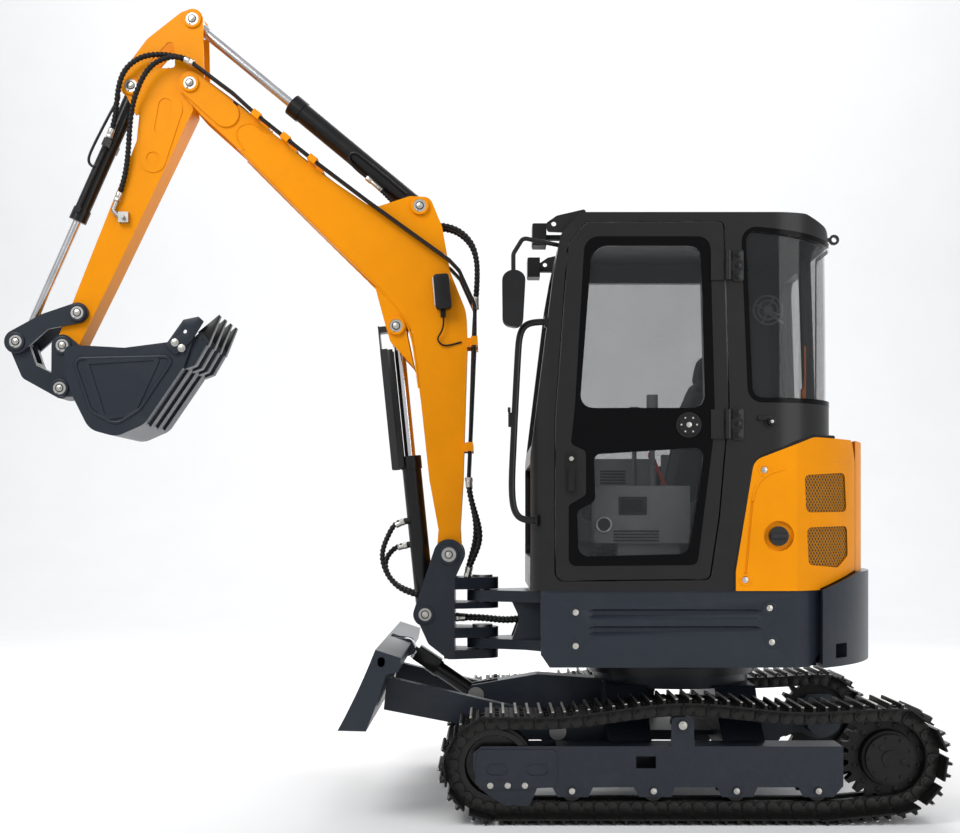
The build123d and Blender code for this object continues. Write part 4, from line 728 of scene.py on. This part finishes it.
troughs = Shape()
for side in BOTH:
    for z in GROOVE_HEIGHTS:
        spots = []
        for x, top, low, full in GROOVE_ENDS:
            spots += [(x, y, z_at) for y in (CUTTER_FACE, SKIRT_FACE) for z_at in (z + top, z + low)]
            if full:
                walls = (z + top - GROOVE_WALLS[0], z + low + GROOVE_WALLS[1])
                spots += [(x, GROOVE_BED, z_at) for z_at in walls]
        corners = [troughs.bm.verts.new((x, side * y, z_at)) for x, y, z_at in spots]
        hull = bmesh.ops.convex_hull(troughs.bm, input=corners)
        bmesh.ops.delete(troughs.bm, geom=hull["geom_interior"] + hull["geom_unused"], context="VERTS")
bmesh.ops.recalc_face_normals(troughs.bm, faces=troughs.bm.faces)
skirts = cut_copy("side_skirts", troughs)
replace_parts(skirts.done("grooved skirts", "upper", SLATE, "dark_paint", 0, 15), "side_skirts")

side_bolts, skirt_dishes, panel_dishes = Shape(), Shape(), Shape()
for x, z in ((483, 867), (483, 729), (-314, 885), (-323, 745)):
    for side in BOTH:
        skirt_dishes.plate(circle(x, z, 27), side * 731, side * 734, [circle(x, z, 17)])
        side_bolts.bolt((x, side * 731.5, z), (0, side, 0), 8, 5)
for x, z in ((-290, 1452), (-212, 1001)):
    panel_dishes.plate(circle(x, z, 25), DOOR_Y - 1, DOOR_Y + 2.5, [circle(x, z, 16)])
    side_bolts.bolt((x, DOOR_Y - 0.5, z), (0, 1, 0), 8, 5)
side_bolts.done("body bolts", "upper", FITTING, "pin_steel", 0.6)
skirt_dishes.done("skirt bolt rims", "upper", SLATE, "dark_paint", 1.0)
panel_dishes.done("panel bolt rims", "upper", YELLOW, "yellow_paint", 1.0)


# door: black border of the panes, latch, lock and hinges

GLOSS = paint("black glass border", (0.0022, 0.0022, 0.0026), 0.2, 0.0, 0.0, 0.0, 0.1)
upper_pane = [(467, 1707, 50), (417, 2372, 70), (-30, 2372, 50), (-47, 1707, 50)]
lower_pane = [
    (408, 1518, 30), (403, 1325, 30), (478, 1284, 30), (471, 1097, 40),
    (23, 1107, 40), (-18, 1337, 60), (-47, 1546, 30),
]
border = [
    (446, 2411, 60), (-68, 2411, 50), (-88, 1668, 60), (-78, 1555, 60), (-16, 1062, 30), (512, 1058, 30),
    (512, 1308, 20), (441, 1350, 20), (441, 1530, 20), (503, 1559, 20), (486, 1719, 60),
]
panes = [rounded(upper_pane, 50), rounded(lower_pane, 30)]
frame_sheet = Shape().plate(rounded(border, 30), DOOR_Y - 0.5, DOOR_Y + 1.4, panes)
frame_sheet.done("door glass border", "door", GLOSS, "black_paint")

LATCH = (20, 1637)
LOCK = (502, 1498)
LATCH_FACE = DOOR_Y + 11.5
fittings = Shape()
for x, z in circle(*LATCH, 32, 6):
    fittings.bolt((x, LATCH_FACE, z), (0, 1, 0), 4, 3, False)
fittings.bar((LATCH[0], LATCH_FACE, LATCH[1]), (LATCH[0], LATCH_FACE + 3.5, LATCH[1]), 11, 20)
fittings.bar((LOCK[0], DOOR_Y + 14.5, LOCK[1]), (LOCK[0], DOOR_Y + 17, LOCK[1]), 9, 20)
fittings.done("latch screws and lock", "door", FITTING, "pin_steel", 0.5)

HINGE_X = -181
plates = Shape()
screws = Shape()
for z in (2290, 1640):
    leaf = [(HINGE_X + x, z + up) for x, up in ((-23, -66), (-23, 66), (23, 66), (23, -66))]
    plates.plate(rounded(leaf, 12), DOOR_Y - 0.5, DOOR_Y + 8)
    for step, proud in ((-46, 8), (46, 8), (0, 10)):
        screws.bolt((HINGE_X, DOOR_Y + proud, z + step), (0, 1, 0), 9, 6)
plates.done("hinge plates", "upper", CAB, "cab_paint", 1.5)
screws.done("hinge bolts", "upper", BLACK, "black_paint", 0.6)


# quarter window: its black border follows the cab's rounded corner to the rear wall

CORNER_X, CORNER_Y, CORNER_R = -335.0, 460.0, 280.0
CORNER_RUN = CORNER_R * math.pi / 2


def on_cab(run, z, proud):
    """A point of the cab's wall, at a run measured backwards from where the rounded corner starts."""
    if run < 0:
        return Vector((CORNER_X - run, DOOR_Y + proud, z))
    if run > CORNER_RUN:
        return Vector((CORNER_X - CORNER_R - proud, CORNER_Y - (run - CORNER_RUN), z))
    angle = run / CORNER_R
    reach = CORNER_R + proud
    return Vector((CORNER_X - reach * math.sin(angle), CORNER_Y + reach * math.cos(angle), z))


def window_ring(spread):
    """The opening's outline, widened by a spread."""
    low, high = -91 - spread, -121 - spread
    rear = CORNER_RUN + 200 + spread
    corner = 40 + spread
    return [
        (low, 1750 - spread, corner), (high, 2437 + spread, corner), (0, 2423 + spread, 9),
        (220, 2400 + spread, 9), (CORNER_RUN, 2390 + spread, 9), (rear, 2390 + spread, 20),
        (rear, 1744 - spread, 20),
    ]


BORDER_STEP = 15
BORDER_WIDTH = 20
strip = Shape()
rows = []
inner, outer = rounded(window_ring(0), 40), rounded(window_ring(BORDER_WIDTH), 40)
for k in range(len(inner)):
    steps = max(2, round((Vector(inner[k]) - Vector(inner[k - 1])).length / BORDER_STEP))
    for step in range(steps):
        ends = []
        for ring in (inner, outer):
            run, z = Vector(ring[k - 1]).lerp(Vector(ring[k]), step / steps)
            ends.append(strip.bm.verts.new(on_cab(run, z, 1.0)))
        rows.append(ends)
quads = [strip.bm.faces.new((a[0], a[1], b[1], b[0])) for a, b in zip(rows, rows[1:] + rows[:1])]
bmesh.ops.recalc_face_normals(strip.bm, faces=quads)
bmesh.ops.solidify(strip.bm, geom=quads, thickness=1.6)
strip.done("quarter window border", "upper", GLOSS, "black_paint")


# engine panel: wire grilles, the fold above them, the cab's seal and the door stop

TAIL_R = 853.0
WIRE_INSET = 8.0
WIRE_R = 1.7
WIRE_PITCH = 12.5
WIRE_SLOPE = math.radians(58)
PANEL_FRONT, PANEL_REAR = -171.0, 103.0 - TAIL_R


def panel_y(x, inset=0.0):
    """The body's left side, straight ahead and round at the tail."""
    tail = TAIL_R - inset
    return min(DOOR_Y - inset, math.sqrt(max(0.0, tail * tail - x * x)))


def wire_span(start, way, corners):
    """Where a straight wire enters and leaves a convex opening."""
    low, high = -1e4, 1e4
    for k in range(len(corners)):
        edge = corners[k] - corners[k - 1]
        inward = Vector((-edge.y, edge.x))
        if inward.dot(sum(corners, Vector((0, 0))) / len(corners) - corners[k]) < 0:
            inward = -inward
        pace = inward.dot(way)
        gap = inward.dot(corners[k] - start)
        if pace > 1e-6:
            low = max(low, gap / pace)
        elif pace < -1e-6:
            high = min(high, gap / pace)
        elif gap > 0:
            return None
    return (low, high) if high - low > WIRE_PITCH / 2 else None


upper_grille = ((0.5, 1432), (0.87, 1448), (0.89, 1282), (0.515, 1278))
lower_grille = ((0.52, 1216), (0.895, 1222), (0.905, 1096), (0.8, 1046), (0.535, 1062))
wires = Shape()
for opening in (upper_grille, lower_grille):
    corners = [Vector((PANEL_FRONT + share * (PANEL_REAR - PANEL_FRONT), z)) for share, z in opening]
    for lean in BOTH:
        way = Vector((math.cos(WIRE_SLOPE), lean * math.sin(WIRE_SLOPE)))
        across = Vector((-way.y, way.x))
        offsets = [across.dot(at) for at in corners]
        for k in range(math.ceil(min(offsets) / WIRE_PITCH), math.ceil(max(offsets) / WIRE_PITCH)):
            start = across * (k * WIRE_PITCH)
            span = wire_span(start, way, corners)
            if span:
                spots = [start + way * (span[0] + (span[1] - span[0]) * i / 8) for i in range(9)]
                line = [Vector((x, panel_y(x, WIRE_INSET - lean * 0.8), z)) for x, z in spots]
                wires.tube(line, WIRE_R, 6)
WIRE = paint("grille wire", (0.6, 0.24, 0.008), 0.45, 0.0, 0.2, 0.0, 0.15)
wires.done("grille wires", "upper", WIRE, "yellow_paint")

fold = [
    (-241, 1325), (-250, 1370), (-268, 1412), (-320, 1446),
    (-430, 1466), (-560, 1480), (-640, 1489), (-712, 1497),
]
line = smooth_line([(x, panel_y(x), z) for x, z in fold], 10)
Shape().tube(line, 5.0, 10).done("panel fold", "upper", YELLOW, "yellow_paint", 0, 70)

seal = [
    (-169, 958), (-169, 1000), (-169.5, 1037), (-189, 1150), (-208, 1265), (-232, 1405), (-246, 1488),
    (-262, 1503), (-320, 1524), (-400, 1555), (-440, 1570), (-495, 1591), (-530, 1595), (-612, 1595),
]
line = smooth_line([(x, panel_y(x, 9), z) for x, z in seal], 10)
Shape().tube(line, 8.5).done("cab seal", "upper", RUBBER, "hose_rubber", 0, 70)

STOP_X, STOP_Z = -315, 1649


def stop_bar(shape, y_from, y_to, *sizes):
    return shape.bar((STOP_X, DOOR_Y + y_from, STOP_Z), (STOP_X, DOOR_Y + y_to, STOP_Z), *sizes)


stop = stop_bar(stop_bar(Shape(), -1, 6, 24, 24), 6, 34, 17, 24, 14)
stop.box((STOP_X - 6, DOOR_Y - 1, STOP_Z + 6), (STOP_X + 52, DOOR_Y + 12, STOP_Z + 26))
stop.done("door stop", "upper", PLASTIC, "black_plastic", 2)
stop_bar(Shape(), 30, 40, 7, 16).done("door stop pin", "upper", FITTING, "pin_steel", 1)


# roof lamps: rims and lenses

lenses = Shape()
rims = Shape()
for y in (610, -150):
    rims.box((652, y - 47, 2391), (659, y + 47, 2481))
    lenses.box((658, y - 40, 2398), (661, y + 40, 2474))
rims.done("lamp rims", "upper", PLASTIC, "lamp_plastic", 3)
lenses.done("lamp lenses", "upper", LENS, "glass", 2)


# bucket: pressed bead on both sides and teeth on their adapters

BUCKET_FACE = 250.0
CUTTER_OUT = BUCKET_FACE + 14
bead = Shape()
loop = [(2692, 1966, 30), (2236, 1976, 24), (2392, 1742, 60), (2500, 1672, 60), (2612, 1732, 60)]
loop = rounded(loop, 30)
for side in BOTH:
    line = [Vector((x, side * (BUCKET_FACE + 1), z)) for x, z in loop + loop[:1]]
    bead.tube(line, 8.0)
bead.done("bucket bead", "bucket", SLATE, "dark_paint", 0, 60)


def wedge(shape, base, base_half, tip, tip_half, y):
    """A tooth that narrows from a four-sided base to a blunt edge, in side view pairs of points."""
    verts = []
    for (x, z), half in zip(base + tip, (base_half, base_half, tip_half, tip_half)):
        verts.append([shape.bm.verts.new((x, y + side * half, z)) for side in BOTH])
    for first, second in zip(verts, verts[1:] + verts[:1]):
        shape.bm.faces.new((first[0], first[1], second[1], second[0]))
    shape.bm.faces.new([pair[0] for pair in verts])
    shape.bm.faces.new([pair[1] for pair in reversed(verts)])


teeth, adapters, tooth_pins = Shape(), Shape(), Shape()
nose = [(2203, 1918, 4), (2158, 2060, 4), (2122, 2092, 6), (2090, 2046, 6), (2152, 1938, 6)]
for k in range(4):
    y = (k - 1.5) * (2 * BUCKET_FACE - 90) / 3
    adapters.plate(rounded(nose, 4), y - 30, y + 30)
    wedge(teeth, [(2096, 2024), (2140, 2086)], 25, [(2046, 2166), (2040, 2160)], 17, y)
    tooth_pins.bar((2116, y - 33, 2058), (2116, y + 33, 2058), 8, 14)
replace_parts(adapters.done("tooth adapters", "bucket", SLATE, "dark_paint", 3), "bucket_teeth")
teeth.done("bucket teeth", "bucket", BLACK, "dark_paint", 2)
tooth_pins.done("tooth pins", "bucket", IRON, "pin_steel", 1)
cutters, cutter_bolts = Shape(), Shape()
cutter = [
    (2277, 2024, 6), (2197, 2137, 10), (2130, 2151, 8),
    (2108, 2131, 3), (2161, 2044, 8), (2233, 1979, 10),
]
holes = [circle(2190, 2085, 9, 16)]
for side in BOTH:
    cutters.plate(rounded(cutter, 6), side * BUCKET_FACE, side * CUTTER_OUT, holes)
    for x, z in ((2235, 2035), (2205, 2010)):
        cutter_bolts.bolt((x, side * CUTTER_OUT, z), (0, side, 0), 11, 8)
cutters.done("side cutters", "bucket", SLATE, "dark_paint", 1.5)
cutter_bolts.done("side cutter bolts", "bucket", FITTING, "pin_steel", 0.8)


# boom: welds along its lower edge and round its head

WELD_Y = 89.0
low_edge = [
    (1160, 1850), (1176, 1990), (1192, 2120), (1260, 2212), (1340, 2312), (1612, 2569), (1973, 2933),
]
head_seam = [
    (1958, 2936), (1996, 2985), (1998, 3030), (1962, 3056),
    (1915, 3062), (1894, 3034), (1850, 3008), (1818, 3024),
]
welds = Shape()
for side in BOTH:
    for seam, y, step, radius in ((low_edge, WELD_Y, 24, 4.5), (head_seam, WELD_Y + 0.5, 12, 4.0)):
        line = smooth_line([(x, side * y, z) for x, z in seam], step)
        welds.rings(line, [radius if k % 2 else radius + 1 for k in range(len(line))], 8)
welds.done("boom welds", "boom", YELLOW, "yellow_paint", 0, 70)


# cylinders: their pipes, the arm cylinder's hose, the boom rod's guard and the blade rod's cover

PIPE_R = 6.5


def steel_pipe(name, body, route):
    Shape().tube(smooth_line(route, 6), PIPE_R).done(name, body, BLACK, "black_paint", 0, 60)


arm_pipe = [
    (1221, 52, 2745), (1290, 53, 2804), (1340, 53, 2846), (1423, 53, 2912), (1462, 52, 2944),
    (1494, 44, 2914), (1462, 36, 2870), (1424, 32, 2840), (1394, 30, 2818),
]
steel_pipe("arm cylinder pipe", "arm_cylinder", arm_pipe)
joint = Shape()
ends = [Vector((1402, 30, 2825)), Vector((1380, 30, 2806)), Vector((1334, 30, 2766))]
joint.bar(ends[0], ends[1], 14, 6).bar(ends[1], ends[2], 11, 16)
joint.done("arm cylinder fittings", "arm_cylinder", FITTING, "pin_steel", 0.6)
tail = Shape()
ribbed(tail, [(1345, 30, 2776), (1320, 30, 2751), (1292, 30, 2722), (1262, 30, 2690)], 11.0, 15.0)
tail.done("arm cylinder hose", "arm_cylinder", RUBBER, "hose_rubber")

bucket_pipe = [
    (2541, 34, 3196), (2560, 44, 3158), (2616, 44, 3052), (2668, 42, 2950), (2690, 42, 2894),
    (2654, 42, 2862), (2624, 46, 2900), (2606, 54, 2945), (2588, 64, 2992),
]
steel_pipe("bucket cylinder pipe", "bucket_cylinder", bucket_pipe)


def beside_rod(pins, spots):
    """Side view points by their way along a rod's axis and their distance to its left."""
    start = Vector(pins[0])
    axis = (Vector(pins[1]) - start).normalized()
    left = Vector((-axis.y, axis.x))
    return [tuple(start + axis * along + left * off) for along, off in spots]


BOOM_PINS = ((1130, 818), (1263, 2132))
BLADE_PINS = ((900, 444), (1222, 660))
sides = Shape()
guard = beside_rod(BOOM_PINS, ((676, -30), (676, -56), (1224, -56), (1224, -30)))
for side in BOTH:
    sides.plate(guard, side * 46, side * 52)
sides.done("rod guard sides", "boom_piston", BLACK, "black_paint", 1)

cover = Shape()
for low, high, y_from, y_to in ((40, 44, -50, 50), (-26, 44, 44, 50), (-26, 44, -50, -44)):
    wall = beside_rod(BLADE_PINS, ((215, low), (215, high), (335, high), (335, low)))
    cover.plate(wall, y_from, y_to)
cover.done("blade rod cover", "blade_piston", BLACK, "black_paint", 1)


# handrail in one smooth bend, with its catch

RAIL_Y = 712
rail_line = [
    (592, 2064), (640, 2064), (690, 2060), (715, 2010), (720, 1930), (732, 1700),
    (741, 1500), (746, 1400), (742, 1300), (718, 1252), (680, 1245), (640, 1245),
]
rail = Shape().tube(smooth_line([(x, RAIL_Y, z) for x, z in rail_line], 10), 14.0, 16)
rail.box((598, 700, 2040), (612, 740, 2088)).box((640, 700, 1222), (650, 738, 1268))
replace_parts(rail.done("cab handrail", "upper", BLACK, "black_paint", 0, 50), "handrail")
catch = Shape().box((738, 702, 1630), (760, 722, 1690)).bar((756, 712, 1690), (756, 712, 1712), 6, 12)
catch.done("rail catch", "upper", BLACK, "black_paint", 2)


# seat: cushions with a rounded, filled form

def cushion(name, centre, size, turn, radius, puff):
    """A stuffed pad: a rounded block whose thin side swells towards its middle."""
    made = Shape()
    bmesh.ops.create_cube(made.bm, size=2.0)
    bmesh.ops.subdivide_edges(made.bm, edges=made.bm.edges, cuts=9, use_grid_fill=True)
    half = Vector(size) / 2
    thin = min(range(3), key=lambda axis: size[axis])
    place = Matrix.Translation(centre) @ turn
    for vert in made.bm.verts:
        share = vert.co.copy()
        point = Vector([share[axis] * half[axis] for axis in range(3)])
        reach = half - Vector((radius, radius, radius))
        core = Vector([max(-reach[axis], min(reach[axis], point[axis])) for axis in range(3)])
        if (point - core).length > 0:
            point = core + (point - core).normalized() * radius
        wide = [1 - share[axis] ** 2 for axis in range(3) if axis != thin]
        point[thin] += puff * share[thin] * wide[0] * wide[1]
        vert.co = place @ point
    piece = made.done(name, "upper", FABRIC, "seat_fabric", 0, 80)
    return piece


LEAN = Matrix.Rotation(math.radians(-12), 4, "Y")
UPRIGHT = Matrix.Identity(4)
seat = cushion("seat cushion", (205, 250, 1286), (420, 410, 88), UPRIGHT, 34, 12)
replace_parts(seat, "operator_seat")
cushion("seat back", (-60, 250, 1590), (104, 400, 540), LEAN, 36, 14)
cushion("head rest", (-128, 250, 1908), (80, 260, 130), LEAN, 30, 8)
for y in (60, 440):
    cushion("seat bolster", (215, y, 1296), (390, 62, 96), UPRIGHT, 28, 4)
    cushion("back bolster", (-48, y, 1560), (112, 62, 470), LEAN, 28, 4)
stand = Shape().box((20, 60, 1001), (380, 440, 1100)).box((50, 90, 1100), (350, 410, 1244))
for z in (1118, 1150, 1182, 1214):
    stand.box((36, 76, z), (364, 424, z + 16))
stand.done("seat stand", "upper", PLASTIC, "black_plastic", 6)
belt = Shape()
belt.box((-569, 236, 1790), (-561, 262, 2020)).box((-563, 230, 1780), (-551, 268, 1830))
STRAP = plain("strap", (0.6, 0.16, 0.012), 0.8, 400.0, 0.3)
belt.done("hanging strap", "upper", STRAP, "seat_fabric", 1)
RED = plain("red plastic", (0.42, 0.03, 0.012), 0.45)
stick = Shape().bar((92, 560, 1388), (152, 560, 1520), 8, 12).ball((152, 560, 1520), (14, 14, 20))
stick.done("lock lever", "upper", RED, "black_plastic")


# cab fittings seen through the glass

trim = Shape()
trim.box((40, -212, 1010), (470, -196, 1540)).box((-250, -212, 1010), (20, -196, 1560))
trim.box((330, -190, 1010), (450, -60, 1180))
trim.done("cab trim", "upper", GREY_PLASTIC, "black_plastic", 10)
CONSOLE_FACE = 640.0
PORT = (360, CONSOLE_FACE, 1228)
vents = Shape()
for k in range(5):
    vents.box((190, -197, 1420 + 14 * k), (310, -192, 1427 + 14 * k))
for k in range(4):
    vents.box((130, CONSOLE_FACE - 1, 1158 + 13 * k), (320, CONSOLE_FACE + 4, 1165 + 13 * k))
vents.box((180, CONSOLE_FACE - 1, 1268), (298, CONSOLE_FACE + 3, 1344))
vents.bar((PORT[0], PORT[1] - 1, PORT[2]), (PORT[0], PORT[1] + 6, PORT[2]), 30, 28)
vents.done("cab vents", "upper", PLASTIC, "black_plastic", 1)
screen = Shape().box((192, CONSOLE_FACE + 2, 1280), (286, CONSOLE_FACE + 5, 1332))
screen.done("console screen", "upper", GLOSS, "black_plastic", 1)


def hoop(shape, middle, radius, count):
    """A ring of round wire that faces the door."""
    x, y, z = middle
    corners = [(at_x, y, at_z) for at_x, at_z in circle(x, z, radius, count)]
    for first, second in zip(corners, corners[1:] + corners[:1]):
        shape.bar(first, second, 4, 8)
    return shape


port = hoop(Shape(), (PORT[0], PORT[1] + 5, PORT[2]), 30, 32)
port.done("vent ring", "upper", FITTING, "pin_steel")
HUB = (-440, 60, 2210)
fan = Shape()
for radius in (66, 44):
    hoop(fan, HUB, radius, 28)
for k in range(4):
    angle = math.pi * k / 2 + 0.4
    fan.bar(HUB, (HUB[0] + 62 * math.cos(angle), HUB[1], HUB[2] + 62 * math.sin(angle)), 5, 8)
fan_back = (HUB[0], 40, HUB[2])
fan.bar(fan_back, (HUB[0], 76, HUB[2]), 20, 20).bar(fan_back, (-520, 20, 2150), 8, 12)
fan.done("cab fan", "upper", GREY_PLASTIC, "black_plastic")


# camera, floor and light

PICTURE_WIDTH = 960
FOCAL_PIXELS = 1404
SENSOR = 36.0
camera = bpy.data.objects.new("camera", bpy.data.cameras.new("camera"))
scene.collection.objects.link(camera)
camera.location = (0.835, 6.5, 1.247)
camera.rotation_euler = (math.radians(90), 0, math.radians(180))
camera.data.sensor_width = SENSOR
camera.data.lens = SENSOR * FOCAL_PIXELS / PICTURE_WIDTH
camera.data.shift_x = -10 / PICTURE_WIDTH
camera.data.shift_y = 103.5 / PICTURE_WIDTH
camera.data.clip_end = 200.0
scene.camera = camera

SWEEP_HALF = 40.0
SWEEP_BACK = -9.0
SWEEP_R = 5.0
profile = [(30.0, 0.0), (SWEEP_BACK, 0.0)]
for k in range(1, 17):
    angle = math.pi / 2 * k / 16
    profile.append((SWEEP_BACK - SWEEP_R * math.sin(angle), SWEEP_R * (1 - math.cos(angle))))
profile.append((SWEEP_BACK - SWEEP_R, 30.0))
sheet = bmesh.new()
verts = [sheet.verts.new((-SWEEP_HALF, y, z)) for y, z in profile]
edges = [sheet.edges.new(pair) for pair in zip(verts, verts[1:])]
grown = bmesh.ops.extrude_edge_only(sheet, edges=edges)
moved = [v for v in grown["geom"] if isinstance(v, bmesh.types.BMVert)]
bmesh.ops.translate(sheet, verts=moved, vec=(2 * SWEEP_HALF, 0, 0))
bmesh.ops.recalc_face_normals(sheet, faces=sheet.faces)
floor_mesh = bpy.data.meshes.new("floor")
sheet.to_mesh(floor_mesh)
sheet.free()
floor_mesh.polygons.foreach_set("use_smooth", [True] * len(floor_mesh.polygons))
floor = bpy.data.objects.new("floor", floor_mesh)
scene.collection.objects.link(floor)
ground = Mat("floor", Roughness=0.9)
ground.set("Base Color", ground.mix(ground.noise(1.5, 2.0), (0.86, 0.86, 0.86, 1), (0.82, 0.82, 0.82, 1)))
floor_mesh.materials.append(ground.data)

world = bpy.data.worlds.new("studio")
scene.world = world
world.use_nodes = True
world.node_tree.nodes["Background"].inputs[0].default_value = (0.95, 0.97, 1.0, 1)
world.node_tree.nodes["Background"].inputs[1].default_value = 0.62


def area_light(name, at, to, power, size):
    light = bpy.data.lights.new(name, "AREA")
    light.energy = power
    light.size = size
    made = bpy.data.objects.new(name, light)
    scene.collection.objects.link(made)
    made.location = at
    made.rotation_euler = (Vector(to) - Vector(at)).to_track_quat("-Z", "Y").to_euler()


area_light("backdrop", (0.8, -6.5, 11.0), (0.8, -14.0, 3.5), 900, 14.0)
area_light("key", (4.5, 5.0, 6.5), (0.6, 0, 1.2), 300, 3.5)
area_light("fill", (-4.0, 5.0, 3.0), (0, 0, 1.2), 110, 4.0)
area_light("rim", (-1.0, -5.0, 5.0), (0.5, 0, 1.5), 200, 4.0)
scene.view_settings.view_transform = "Standard"
